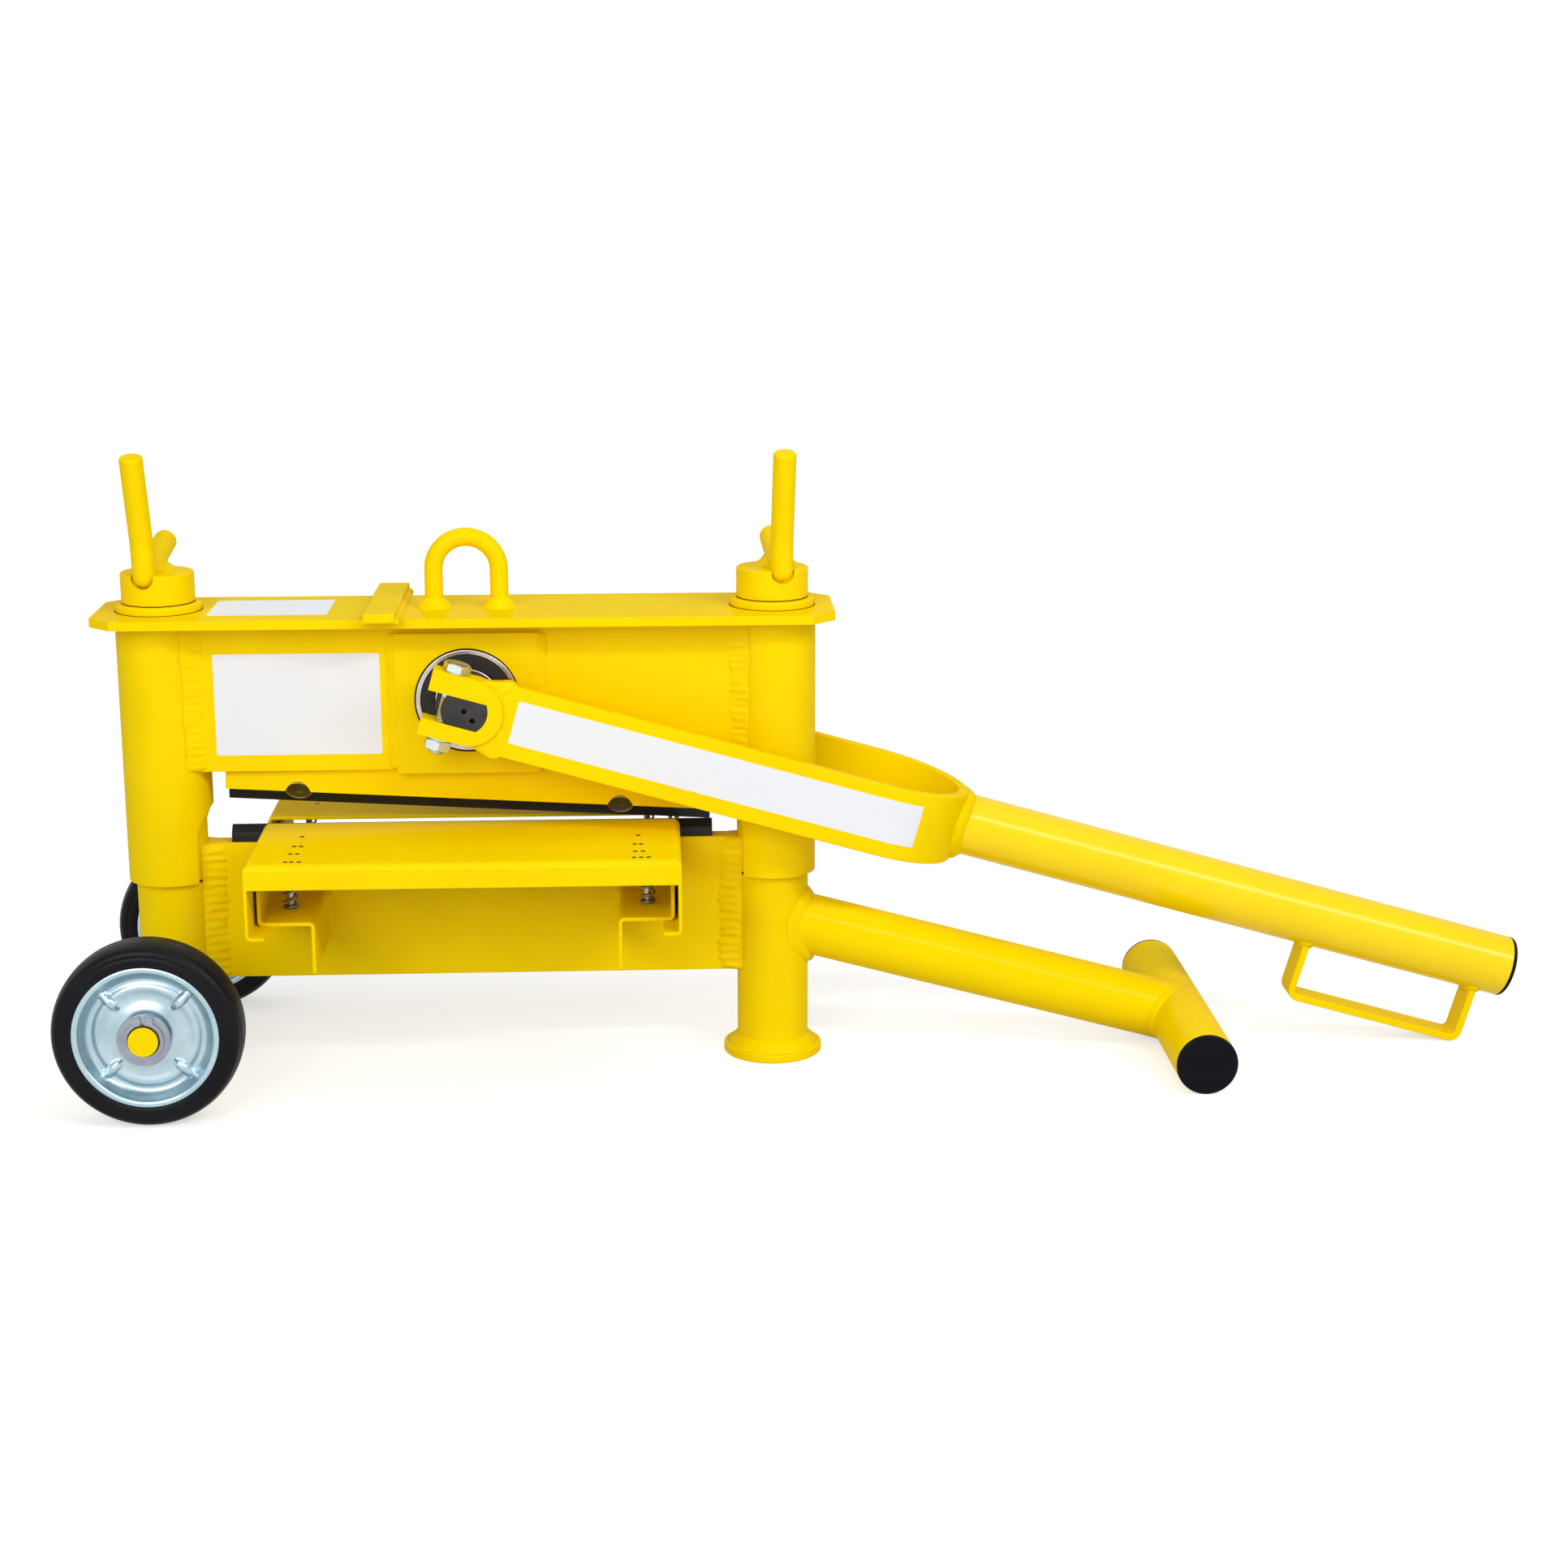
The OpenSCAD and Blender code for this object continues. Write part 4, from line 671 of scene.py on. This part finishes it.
def headWelds(s, h):
    w = Beads("head_welds", "head")
    px, r, y, z0, z1 = base["postX"], h["sleeve"], h["face"], h["low"], h["high"]
    reach = sqrt(r * r - y * y)
    for side in (-1, 1):
        for face in (-1, 1):
            out = Vector((0, face, 0))
            way = tangent(out, Vector((-reach * side, y * face, 0)).normalized())
            x, gap = side * (px - reach), s["grooveEnd"]
            w.line(at(x, face * y, z0 + gap), at(x, face * y, z1 - gap), (-side, 0, 0), way, s["groove"],
                   pitch=6.5, full=2.0, rough=0.25, wave=0.16)
            x, gap = side * h["bearing"], s["plateEnd"]
            w.line(at(x, face * y, z0 + gap), at(x, face * y, h["bearingHigh"] - gap), (side, 0, 0), out,
                   s["plate"], pitch=8.0, full=1.9, rough=0.1)
        for x0, x1 in h["topRuns"]:
            w.line(at(x0, side * y, z1), at(x1, side * y, z1), (0, side, 0), (0, 0, -1), s["top"])
        mid = 0.0 if side > 0 else pi
        turn = h["sleeveTurn"]
        w.add(ringPath(at(side * px, 0, z1), r, -1, 120, mid - turn, mid + turn), s["top"])
        w.add(ringPath(at(side * h["eyeX"], 0, h["top"]), h["eyeBar"], 1, 44), s["eye"],
              closed=True, full=1.9, rough=0.1)
        near, far = (at(h["stopX"] + side * h["stopHalf"], k * h["stopReach"], h["top"]) for k in (-1, 1))
        w.line(near, far, (side, 0, 0), (0, 0, 1), s["stop"])
    w.done()


headWelds(headBead, headSize)

leverSize = {"bend": 375.005, "yoke": 75.5, "yokeIn": 65.5, "tube": 27.5, "half": 31.5,
             "gripAt": (784.5, 946.5), "gripThick": 6.5, "gripHalf": 15.0,
             "forkAt": 4.0, "forkRound": 29.0, "forkFace": 80.0, "forkBack": 58.0}
leverBead = {"saddle": (8.0, 7.0), "least": 1.2, "rim": 0.4, "grip": (3.4, 3.6)}


def leverWelds(s, h):
    w = Beads("lever_welds", "lever")
    along, up = leverWay(1, 0, 0), leverWay(0, 0, 1)
    path, legs = [], []
    for f in circle(150):
        y, z = h["tube"] * cos(f), h["tube"] * sin(f)
        reach = sqrt(h["yoke"] ** 2 - y * y)
        normal = (along * reach + Vector((0, y, 0))).normalized()
        out = Vector((0, cos(f), 0)) + up * sin(f)
        path.append((onLever(h["bend"] + reach, y, z), along, tangent(out, normal)))
        room = (h["half"] - s["rim"] - abs(z)) / max(0.05, abs(sin(f)))
        legs.append((s["saddle"][0], max(s["least"], min(s["saddle"][1], room))))
    w.add(path, legs, closed=True, pitch=4.6, rough=0.12)
    half, thick = h["gripHalf"], h["gripThick"]
    for s0 in h["gripAt"]:
        loop = [(s0, -half + 2 * half * i / 12, (-1, 0)) for i in range(12)]
        loop += [(s0 + thick * i / 4, half, (0, 1)) for i in range(4)]
        loop += [(s0 + thick, half - 2 * half * i / 12, (1, 0)) for i in range(12)]
        loop += [(s0 + thick - thick * i / 4, -half, (0, -1)) for i in range(4)]
        path = []
        for q, y, way in loop:
            z = -sqrt(h["tube"] ** 2 - y * y)
            side = along * way[0] + (Vector((0, 1, 0)) + up * (y / h["tube"])).normalized() * way[1]
            path.append((onLever(q, y, z), side.normalized(), -up))
        w.add(path, s["grip"], closed=True)
    w.done()


leverWelds(leverBead, leverSize)

# broad weld that fills the corner between each fork's round end and the square end of the yoke
forkWeld = {"line": [(8.0, 29.2), (15.0, 30.0), (22.0, 31.8), (29.0, 33.8), (34.5, 34.2), (38.0, 32.0),
                     (39.6, 27.0), (40.6, 18.0), (41.2, 8.0), (41.4, 0.0)],
            "turn": radians(76), "steps": 120, "rows": 7, "sunk": 3.8, "in": 0.3, "under": 0.25,
            "swell": 0.9, "pitch": 11.0}


def smoothLine(points, count):
    out = []
    for i in range(count + 1):
        f = i / count * (len(points) - 1)
        k = min(int(f), len(points) - 2)
        u = f - k
        p0, p1, p2, p3 = (Vector(points[max(0, min(len(points) - 1, j))]) for j in (k - 1, k, k + 1, k + 2))
        bend = (2 * p0 - 5 * p1 + 4 * p2 - p3) * u * u + (3 * p1 - p0 - 3 * p2 + p3) * u ** 3
        out.append(0.5 * (2 * p1 + (p2 - p0) * u + bend))
    return out


def forkWelds(s, h):
    outer = smoothLine(s["line"] + [(q, -v) for q, v in reversed(s["line"][:-1])], s["steps"])
    r, weld = h["forkRound"] - s["in"], Solid()
    outside = (h["forkFace"] - s["sunk"], h["yoke"] - s["under"])
    inside = (h["forkBack"] + s["sunk"], h["yokeIn"] + s["under"])
    for face in (-1, 1):
        rings = []
        for i, edge in enumerate(outer):
            f = s["turn"] * (1 - 2 * i / s["steps"])
            inner = Vector((h["forkAt"] + r * cos(f), r * sin(f)))
            ripple = sin(2 * pi * i * 0.9 / s["pitch"])
            wander = noise.noise(Vector((i / 9, face * 3.1, 0.5)))
            ring = []
            for (front, back), way in ((outside, 1), (inside, -1)):
                rows = []
                for k in range(s["rows"] + 1):
                    u = k / s["rows"]
                    bulge = sin(pi * u) * (s["swell"] + 0.3 * ripple + 0.7 * wander)
                    q = inner.lerp(edge, u)
                    rows.append(onLever(q.x, face * (front + (back - front) * u ** 0.8 + way * bulge), q.y))
                ring += rows[::way]
            rings.append(ring)
        weld.rings(rings)
    dress(weld.build("fork_welds"), yellow, "lever", "yellow_paint", (), 50)


forkWelds(forkWeld, leverSize)
print("stage: welds")


# wheels: turned tyre with ribbed tread, pressed rim with ring and four ribs
wheelSize = {"x": -266.0, "z": 80.0, "y": 157.0, "tyreTurn": 144, "rimTurn": 288}


def turned(name, profile, side, s, turn, push=None):
    verts = []
    for f in circle(turn):
        for r, y in profile:
            lift = push(r, y, f) if push else 0.0
            verts.append(at(s["x"] + r * cos(f), side * (s["y"] + y + lift), s["z"] + r * sin(f)))
    return meshObject(name, verts, skin(0, turn, len(profile), True))


tyreSize = {"lip": 61.5, "well": 57.0, "seat": 17.0, "lipY": 19.5, "groove": 1.6, "grooveHalf": 1.3,
            "crown": [(62.2, 20.15), (63.5, 20.55), (65.0, 20.85), (67.0, 20.95), (69.4, 20.75),
                      (70.0, 20.35), (70.6, 20.3), (71.2, 20.6), (72.8, 20.45), (74.4, 19.9), (75.8, 18.9),
                      (76.9, 17.7), (77.6, 16.6)],
            "tread": [(78.25, 15.2), (78.75, 13.6), (79.25, 11.4), (79.6, 8.6), (79.85, 5.2), (79.95, 2.0)],
            "lines": (3.0, 7.8, 12.2), "steps": 6}


def tyreProfile(s):
    points, half = s["tread"], s["grooveHalf"]

    def radius(y):
        for (r0, y0), (r1, y1) in zip(points, points[1:]):
            if y1 <= y <= y0:
                return r0 + (r1 - r0) * (y0 - y) / (y0 - y1)
        return points[-1][0]

    stops = set()
    for (r0, y0), (r1, y1) in zip(points, points[1:]):
        stops |= {round(y0 + (y1 - y0) * (k / s["steps"]), 3) for k in range(s["steps"])}
    for line in s["lines"]:
        stops |= {round(line + half * share, 3) for share in (1, 0.45, -0.45, -1)}
    tread = []
    for y in sorted(stops, reverse=True):
        r = radius(y)
        for line in s["lines"]:
            gap = abs(y - line)
            if gap < half * 0.9:
                r -= s["groove"] * (1 if gap <= half * 0.5 else 0.35)
        tread.append((r, y))
    outer = [(s["well"], s["seat"]), (s["lip"], s["seat"]), (s["lip"], s["lipY"])] + s["crown"] + tread
    return outer + [(r, -y) for r, y in reversed(outer)]


rimSize = {"face": [(57.0, 17.05), (61.45, 17.05), (61.45, 19.1), (60.9, 19.7), (59.4, 19.95), (57.6, 19.7),
                    (56.4, 19.0), (55.7, 17.7), (54.9, 15.6), (53.7, 13.2), (52.2, 11.0), (50.4, 9.3),
                    (48.6, 8.4), (46.8, 8.3), (45.3, 8.9), (44.0, 9.9), (42.7, 10.7), (41.3, 11.0),
                    (39.8, 10.8), (38.0, 10.3), (36.0, 9.9), (33.6, 9.8), (31.0, 10.1), (28.4, 10.8),
                    (26.2, 11.7), (24.2, 12.5), (22.0, 13.0), (19.05, 13.1)],
           "back": [(19.05, 10.6), (22.0, 10.5), (26.5, 6.5), (30.0, 5.6), (46.5, 5.5), (54.4, 5.5)],
           "ribs": 4, "ribHalf": 4.3, "ribIn": 32.5, "ribOut": 51.5, "ribHigh": 4.4, "ribEase": 1.5,
           "ribFrom": 8.0, "ribTop": 12.4, "ribShare": 0.55}


def ribLift(r, y, f, s):
    if r < s["ribIn"] - s["ribEase"] or r > s["ribOut"] + s["ribEase"] or y < s["ribFrom"]:
        return 0.0
    pitch = 2 * pi / s["ribs"]
    turn = (f - pitch / 2) % pitch
    turn = min(turn, pitch - turn)
    across = r * sin(turn) / s["ribHalf"]
    middle, half = (s["ribIn"] + s["ribOut"]) / 2, (s["ribOut"] - s["ribIn"]) / 2
    over = max(0.0, abs(r - middle) - half + s["ribHalf"]) / s["ribHalf"]
    d = hypot(across, over)
    if d >= 1:
        return 0.0
    flat = max(0.0, s["ribTop"] - y)
    return (1 - d * d) ** 0.75 * (s["ribShare"] * s["ribHigh"] + s["ribShare"] * flat)


def makeWheels(s, rimForm):
    def press(r, y, f):
        return copysign(ribLift(r, abs(y), f, rimForm), y)

    outer = rimForm["face"] + rimForm["back"]
    profile = outer + [(r, -y) for r, y in reversed(outer)]
    for name, side in (("front_wheel", -1), ("rear_wheel", 1)):
        tyre = turned(name + "_tyre_dressed", tyreProfile(tyreSize), side, s, s["tyreTurn"])
        dress(tyre, rubber, name, "tyre_rubber", (name + "_tyre",), 38)
        rim = turned(name + "_rim_dressed", profile, side, s, s["rimTurn"], press)
        dress(rim, zinc, name, "zinc_plate", (name + "_rim",), 42)


makeWheels(wheelSize, rimSize)
print("stage: wheels")


# table springs: round wire with closed ends
springSize = {"radius": 6.0, "wire": 1.0, "low": 161.0, "high": 217.5, "curls": 9, "rings": 26, "sides": 10,
              "x": 154.0, "y": 74.0, "travel": 10.0, "close": 2.05}


def springRise(turn, s):
    loose = s["curls"] - 2.0
    height = s["high"] - s["low"] - 2 * s["wire"] - 2 * s["close"]
    rise = min(turn, 1.0) * s["close"] + max(0.0, min(turn - 1, loose)) / loose * height
    return rise + max(0.0, turn - s["curls"] + 1) * s["close"]


def makeSprings(s):
    total, length, up = s["curls"] * s["rings"], s["high"] - s["low"], Vector((0, 0, 1))
    for name, face in (("front_table", -1), ("rear_table", 1)):
        wire = Solid()
        for side in (-1, 1):
            rings = []
            for i in range(total + 1):
                turn = i / total * s["curls"]
                f = 2 * pi * turn
                out = Vector((cos(f), sin(f), 0))
                centre = at(side * s["x"], face * s["y"], s["low"] + s["wire"] + springRise(turn, s))
                centre += out * s["radius"] / 1000
                rings.append([centre + (out * cos(g) + up * sin(g)) * s["wire"] / 1000
                              for g in circle(s["sides"])])
            wire.rings(rings)
        obj = wire.build(name + "_springs_dressed")
        dress(obj, springSteel, "frame", "spring_steel", (name + "_springs",), 60)
        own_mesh(obj)


makeSprings(springSize)


# clamp bolts of the forks: chamfered hexagons, washers and cut threads
boltSize = {"s": -15.0, "y": 69.0, "d": 14.0, "af": 21.0, "headLow": 29.0, "headHigh": 37.6, "nutLow": -39.8,
            "nutHigh": -29.2, "end": -43.4, "pitch": 2.0, "deep": 0.62, "thread": (1.2, 6.0), "neck": 6.9,
            "tip": [(6.0, 0.0), (6.9, 0.9)], "headTurn": 0.35, "nutTurn": 0.15,
            "headWasher": [(9.6, 0.0), (10.3, 0.3), (10.3, 1.3), (9.9, 1.6)],
            "nutWasher": [(9.8, -1.5), (10.3, -1.2), (10.3, -0.3), (9.8, 0.0)]}
hexForm = {"steps": 48, "core": 0.94, "slope": 0.577}


def hexRings(place, af, low, high, turn, chamferLow):
    flat, core = af / 2, af / 2 * hexForm["core"]

    def edge(f):
        return flat / cos((f + pi / 6) % (pi / 3) - pi / 6)

    def drop(f):
        return (edge(f) - core) * hexForm["slope"]

    def ring(radius, height):
        return [place(radius(f) * cos(f + turn), radius(f) * sin(f + turn), height(f))
                for f in circle(hexForm["steps"])]

    rings = [ring(edge, lambda f: low)]
    if chamferLow:
        rings = [ring(lambda f: core, lambda f: low), ring(edge, lambda f: low + drop(f))]
    return rings + [ring(edge, lambda f: high - drop(f)), ring(lambda f: core, lambda f: high)]


def threadLine(d, low, high, pitch, deep):
    line, w, k = [], low, 0
    while w < high:
        line.append((d / 2 - (deep if k % 2 else 0.0), w))
        w += pitch / 2
        k += 1
    line.append((d / 2 - deep, high))
    return line


def makeBolts(s):
    bolts, nuts = Solid(), Solid()
    start, stop = s["thread"]
    shank = [(r, s["end"] + w) for r, w in s["tip"]]
    shank += threadLine(s["d"], s["end"] + start, stop, s["pitch"], s["deep"])
    shank += [(s["neck"], stop + 0.6), (s["neck"], s["headLow"] + 1.7)]
    for face in (-1, 1):
        def place(p, q, w, face=face):
            return onLever(s["s"] + p, face * s["y"] + q, w)
        bolts.rings(hexRings(place, s["af"], s["headLow"] + 1.6, s["headHigh"], s["headTurn"], False))
        bolts.rings(roundRings(place, [(r, s["headLow"] + w) for r, w in s["headWasher"]]))
        bolts.rings(roundRings(place, shank))
        nuts.rings(hexRings(place, s["af"], s["nutLow"], s["nutHigh"] - 1.4, s["nutTurn"], True))
        nuts.rings(roundRings(place, [(r, s["nutHigh"] + w) for r, w in s["nutWasher"]]))
    dress(bolts.build("clamp_bolts_dressed"), boltZinc, "lever", "zinc_plate", ("clamp_bolts",), 32)
    dress(nuts.build("clamp_nuts_dressed"), boltZinc, "lever", "zinc_plate", ("clamp_nuts",), 32)


makeBolts(boltSize)


# shaft with drilled centres in both end faces
shaftSize = {"drills": ((0.0, 0.0), (8.7, -6.2)), "edge": 0.7,
             "drill": [(2.7, -0.5), (2.7, 0.0), (1.9, 0.8), (1.9, 5.0), (0.2, 6.0)]}


def makeShaft(form):
    obj = copyNode("eccentric_shaft")
    low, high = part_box("eccentric_shaft")
    drills = Solid()
    for face, end in ((-1, low.y), (1, high.y)):
        for s, v in form["drills"]:
            def place(p, q, w, face=face, end=end, s=s, v=v):
                return onLever(s + p, end * 1000 - face * w, v + q)
            drills.rings(roundRings(place, form["drill"], 20))
    carve(obj, drills.build("drills"))
    roundEdges(obj, form["edge"], 2, 32)
    dress(obj, darkSteel, "lever", "dark_steel", ("eccentric_shaft",), 0)


makeShaft(shaftSize)
print("stage: bolts, springs, shaft")


# blade clamp screws: dished olive heads with a sunk middle and a worn rim
screwSize = {"places": (-150.0, 132.0), "pivot": 262.0, "tilt": radians(3.25), "front": -12.4,
             "down": -20.633, "slant": radians(41), "head": 12.0, "high": 2.4, "rim": 1.7, "dish": 0.9,
             "socket": 4.0, "shank": 4.0, "long": 2.9}


def makeScrews(s):
    heads, rims = Solid(), Solid()
    c, n = cos(s["tilt"]), sin(s["tilt"])
    r, edge, low, dish = s["head"] - s["rim"], s["head"] - 0.05, -s["high"], -s["dish"]
    head = [(s["shank"], low - s["long"]), (s["shank"], low), (r + 0.1, low), (r + 0.1, dish + 0.3),
            (r - 0.9, dish), (s["socket"] * 1.5, dish - 0.25), (s["socket"] * 1.12, dish - 0.3),
            (s["socket"], dish - 1.2)]
    rim = [(r, dish - 0.2), (r + 0.25, dish + 0.5), (r + 0.8, -0.05), (s["head"] - 0.45, 0.0), (edge, -0.4),
           (edge, low + 0.1), (r, low + 0.1)]
    for x in s["places"]:
        def place(p, q, w, x=x):
            y = s["front"] - q * sin(s["slant"]) - w * cos(s["slant"])
            z = s["down"] + q * cos(s["slant"]) - w * sin(s["slant"])
            return at((x + p) * c + z * n, y, s["pivot"] - (x + p) * n + z * c)
        heads.rings(roundRings(place, head, 48))
        rims.hoop(rim, place, 64)
    body, slotName = bodyOf["blade_screws"], slotOf["blade_screws"]
    dress(heads.build("blade_screws_dressed"), oliveSteel, body, slotName, ("blade_screws",), 35)
    dress(rims.build("blade_screw_rims"), wornSteel, body, slotName, (), 35)


makeScrews(screwSize)


# painted shade: thin dark rings that stand for the shade in the gaps round the bearings, under the lock
# rings, collars and sleeves, and round the axle ends
# each is a square ring: inner and outer radius, then from and to along its axis
shadeRingSize = {"bearing": (44.35, 45.75, 31.6, 32.62), "ring": (36.9, 37.75, 410.4, 410.85),
            "collar": (30.2, 31.15, 417.62, 418.2), "sleeve": (31.8, 32.5, 169.9, 171.4),
            "axle": (12.3, 13.6, 184.6, 184.95)}


def makeShadeRings(s):
    def square(name):
        r0, r1, w0, w1 = s[name]
        return [(r0, w0), (r1, w0), (r1, w1), (r0, w1)]

    head, axle = Solid(), Solid()
    for face in (-1, 1):
        head.hoop(square("bearing"), lambda p, q, w: at(p, face * w, base["shaftZ"] + q))
        axle.hoop(square("axle"), lambda p, q, w: at(-base["postX"] + p, face * w, wheelSize["z"] + q))
        for name in ("ring", "collar", "sleeve"):
            head.hoop(square(name), lambda p, q, w: at(face * base["postX"] + p, q, w))
    # both pieces are painted shade: dark rings put in the gaps between parts
    dress(head.build("head_seams"), gapShadeFinish, "head", "seal_rubber", (), 30)
    dress(axle.build("axle_seams"), gapShadeFinish, "frame", "seal_rubber", (), 30)


makeShadeRings(shadeRingSize)
print("stage: screws and seams")


# plain film labels with round corners: from, to, low and high edge
labelSize = {"thick": 0.18, "under": 0.05, "corner": 1.4, "yoke_label": (42.8, 405.6, -17.6, 20.4),
             "side_label": (-218.3, -75.3, 286.1, 375.5), "top_label": (-220.5, -118.0, -33.0, 39.0)}


def roundedRect(u0, u1, v0, v1, r, n=5):
    points = []
    corners = ((u1 - r, v1 - r, 0), (u0 + r, v1 - r, 90), (u0 + r, v0 + r, 180), (u1 - r, v0 + r, 270))
    for cu, cv, start in corners:
        for i in range(n + 1):
            f = radians(start + 90 * i / n)
            points.append((cu + r * cos(f), cv + r * sin(f)))
    return points


def labelPiece(name, place, body, s, cuts=1):
    box = s[name]
    outline = roundedRect(*box, s["corner"])
    bm = bmesh.new()
    low = [bm.verts.new((u, v, -s["under"])) for u, v in outline]
    high = [bm.verts.new((u, v, s["thick"])) for u, v in outline]
    bm.faces.new(high)
    bm.faces.new(low[::-1])
    n = len(outline)
    for i in range(n):
        bm.faces.new((low[i], low[(i + 1) % n], high[(i + 1) % n], high[i]))
    for i in range(1, cuts):
        u = box[0] + (box[1] - box[0]) * i / cuts
        bmesh.ops.bisect_plane(bm, geom=bm.verts[:] + bm.edges[:] + bm.faces[:], plane_co=(u, 0, 0),
                               plane_no=(1, 0, 0))
    for v in bm.verts:
        v.co = place(*v.co)
    bmesh.ops.recalc_face_normals(bm, faces=bm.faces)
    mesh = bpy.data.meshes.new(name)
    bm.to_mesh(mesh)
    bm.free()
    dress(addObject(name, mesh), label, body, "yellow_paint", (), 30)


def onYoke(u, v, t):
    bend, r = leverSize["bend"], leverSize["yoke"]
    if u <= bend:
        return onLever(u, -(r + t), v)
    f = (u - bend) / r
    return onLever(bend + (r + t) * sin(f), -(r + t) * cos(f), v)


labelPiece("yoke_label", onYoke, "lever", labelSize, 60)
labelPiece("side_label", lambda u, v, t: at(u, -headSize["face"] - t, v), "head", labelSize)
labelPiece("top_label", lambda u, v, t: at(u, v, headSize["top"] + t), "head", labelSize)
print("stage: labels")


# punched pits in the table tops, set out by Geometry Nodes; the lip is (out from the radius, height)
pitSize = {"radius": 1.5, "lip": [(0.7, -0.02), (0.25, 0.22), (0.0, 0.28), (-0.35, 0.12), (-0.8, 0.02)],
           "sides": 16, "long": 1.25, "top": 220.5, "turn": 0.5, "seed": 4,
           "left": [(-144.0, -58.0), (-147.0, -90.0), (-141.0, -90.0), (-147.5, -114.0), (-141.4, -114.0),
                    (-148.5, -139.5), (-143.5, -139.5), (-137.0, -139.5)],
           "right": [(146.4, -68.0), (143.6, -97.0), (149.0, -97.0), (144.0, -120.0), (150.5, -120.0),
                     (143.0, -139.5), (149.0, -139.5), (155.3, -139.5)]}


def pitMesh(s):
    n, verts = s["sides"], []
    for out, h in s["lip"]:
        r = s["radius"] + out
        verts += [(r * cos(f) / 1000, s["long"] * r * sin(f) / 1000, h / 1000) for f in circle(n)]
    rows = len(s["lip"])
    mesh = bpy.data.meshes.new("pit")
    mesh.from_pydata(verts, [], skin(0, rows, n) + [tuple(range((rows - 1) * n, rows * n))])
    return mesh


def scatterPits(name, points, s):
    unit = addObject(name + "_unit", pitMesh(s))
    cloud = bpy.data.meshes.new(name)
    cloud.from_pydata([tuple(p) for p in points], [], [])
    obj = addObject(name, cloud)
    group = bpy.data.node_groups.new(name + "_nodes", "GeometryNodeTree")
    socket, make, link = group.interface.new_socket, group.nodes.new, group.links.new
    socket("Geometry", in_out="INPUT", socket_type="NodeSocketGeometry")
    turnFrom = socket("Turn From", in_out="INPUT", socket_type="NodeSocketVector")
    turnTo = socket("Turn To", in_out="INPUT", socket_type="NodeSocketVector")
    socket("Geometry", in_out="OUTPUT", socket_type="NodeSocketGeometry")
    into, out, info = make("NodeGroupInput"), make("NodeGroupOutput"), make("GeometryNodeObjectInfo")
    spots, stand = make("GeometryNodeMeshToPoints"), make("GeometryNodeInstanceOnPoints")
    real, paint = make("GeometryNodeRealizeInstances"), make("GeometryNodeSetMaterial")
    turn = make("FunctionNodeRandomValue")
    turn.data_type = "FLOAT_VECTOR"
    setInputs(info, {"Object": unit})
    setInputs(turn, {"Seed": s["seed"]})
    setInputs(paint, {"Material": pitDark})
    link(into.outputs["Turn From"], turn.inputs["Min"])
    link(into.outputs["Turn To"], turn.inputs["Max"])
    link(into.outputs["Geometry"], spots.inputs["Mesh"])
    link(spots.outputs["Points"], stand.inputs["Points"])
    link(info.outputs["Geometry"], stand.inputs["Instance"])
    link(turn.outputs["Value"], stand.inputs["Rotation"])
    link(stand.outputs["Instances"], real.inputs["Geometry"])
    link(real.outputs["Geometry"], paint.inputs["Geometry"])
    link(paint.outputs["Geometry"], out.inputs["Geometry"])
    modifier = obj.modifiers.new("set", "NODES")
    modifier.node_group = group
    modifier[turnFrom.identifier] = (0.0, 0.0, -s["turn"])
    modifier[turnTo.identifier] = (0.0, 0.0, s["turn"])
    settle(obj)
    bpy.data.objects.remove(unit)
    return obj


def makePits(s):
    for name, face in (("front_table", -1), ("rear_table", 1)):
        points = [at(x, -face * y, s["top"]) for x, y in s["left"] + s["right"]]
        dress(scatterPits(name + "_pits", points, s), None, name, "yellow_paint", (), 30)


makePits(pitSize)


# weld mounds that tie the lock handles to their collars, sunk where the notch lies
moundSize = {"top": 444.1, "edge": 29.6, "middle": 0.97, "rows": 14, "turn": 72, "over": 4.0, "near": 7.0,
             "far": 20.0, "front": (-13.0, -3.0), "back": (21.0, 28.0), "sunk": 0.25, "notchSunk": 14.0,
             "notchFront": -6.0, "notchHalf": 12.5}


def easeStep(v, low, high):
    u = max(0.0, min(1.0, (v - low) / (high - low)))
    return u * u * (3 - 2 * u)


def moundHigh(x, y, side, s, e):
    away = abs(x - side * e["side"])
    axis = e["z"] + (y - e["y"]) * tan(e["lean"])
    high = max(0.0, axis + s["over"] - s["top"]) * easeStep(y, *s["front"]) * (1 - easeStep(y, *s["back"]))
    wander = noise.noise(Vector((x / 5 + side * 9, y / 5, 0.3)))
    share = max(0.0, min(1.0, (s["far"] + 2.5 * wander - away) / (s["far"] - s["near"]))) ** 1.7
    return high * share * (1 + 0.12 * wander)


def makeMounds(s, e):
    for name, side in lockSides:
        rings = []
        for k in range(s["rows"] + 1):
            reach, ring = s["edge"] * (1 - k / s["rows"] * s["middle"]), []
            for f in circle(s["turn"]):
                x, y = reach * cos(f), reach * sin(f)
                inNotch = y < s["notchFront"] and abs(x - side * e["side"]) < s["notchHalf"]
                sink = s["notchSunk"] if inNotch else s["sunk"]
                rise = moundHigh(x, y, side, s, e) if k else 0.0
                ring.append(onLock(x - side * e["side"], y, s["top"] - sink + rise, side, e))
            rings.append(ring)
        mound = Solid()
        mound.rings(rings)
        mound.faces[-2:] = [cap[::-1] for cap in mound.faces[:-3:-1]]  # the rows run inwards
        dress(mound.build(name + "_weld"), yellow, name, "yellow_paint", (), 60)


makeMounds(moundSize, elbowSize)
print("stage: pits and lock welds")

# carried-over solids take the same finishes
for row in frame["record"]["subparts"]:
    obj = nodes[row["node"]]
    obj.data.materials.clear()
    obj.data.materials.append(nodeMaterial.get(row["node"], slotMaterial[row["material_slot"]]))
print("stage: finishes")
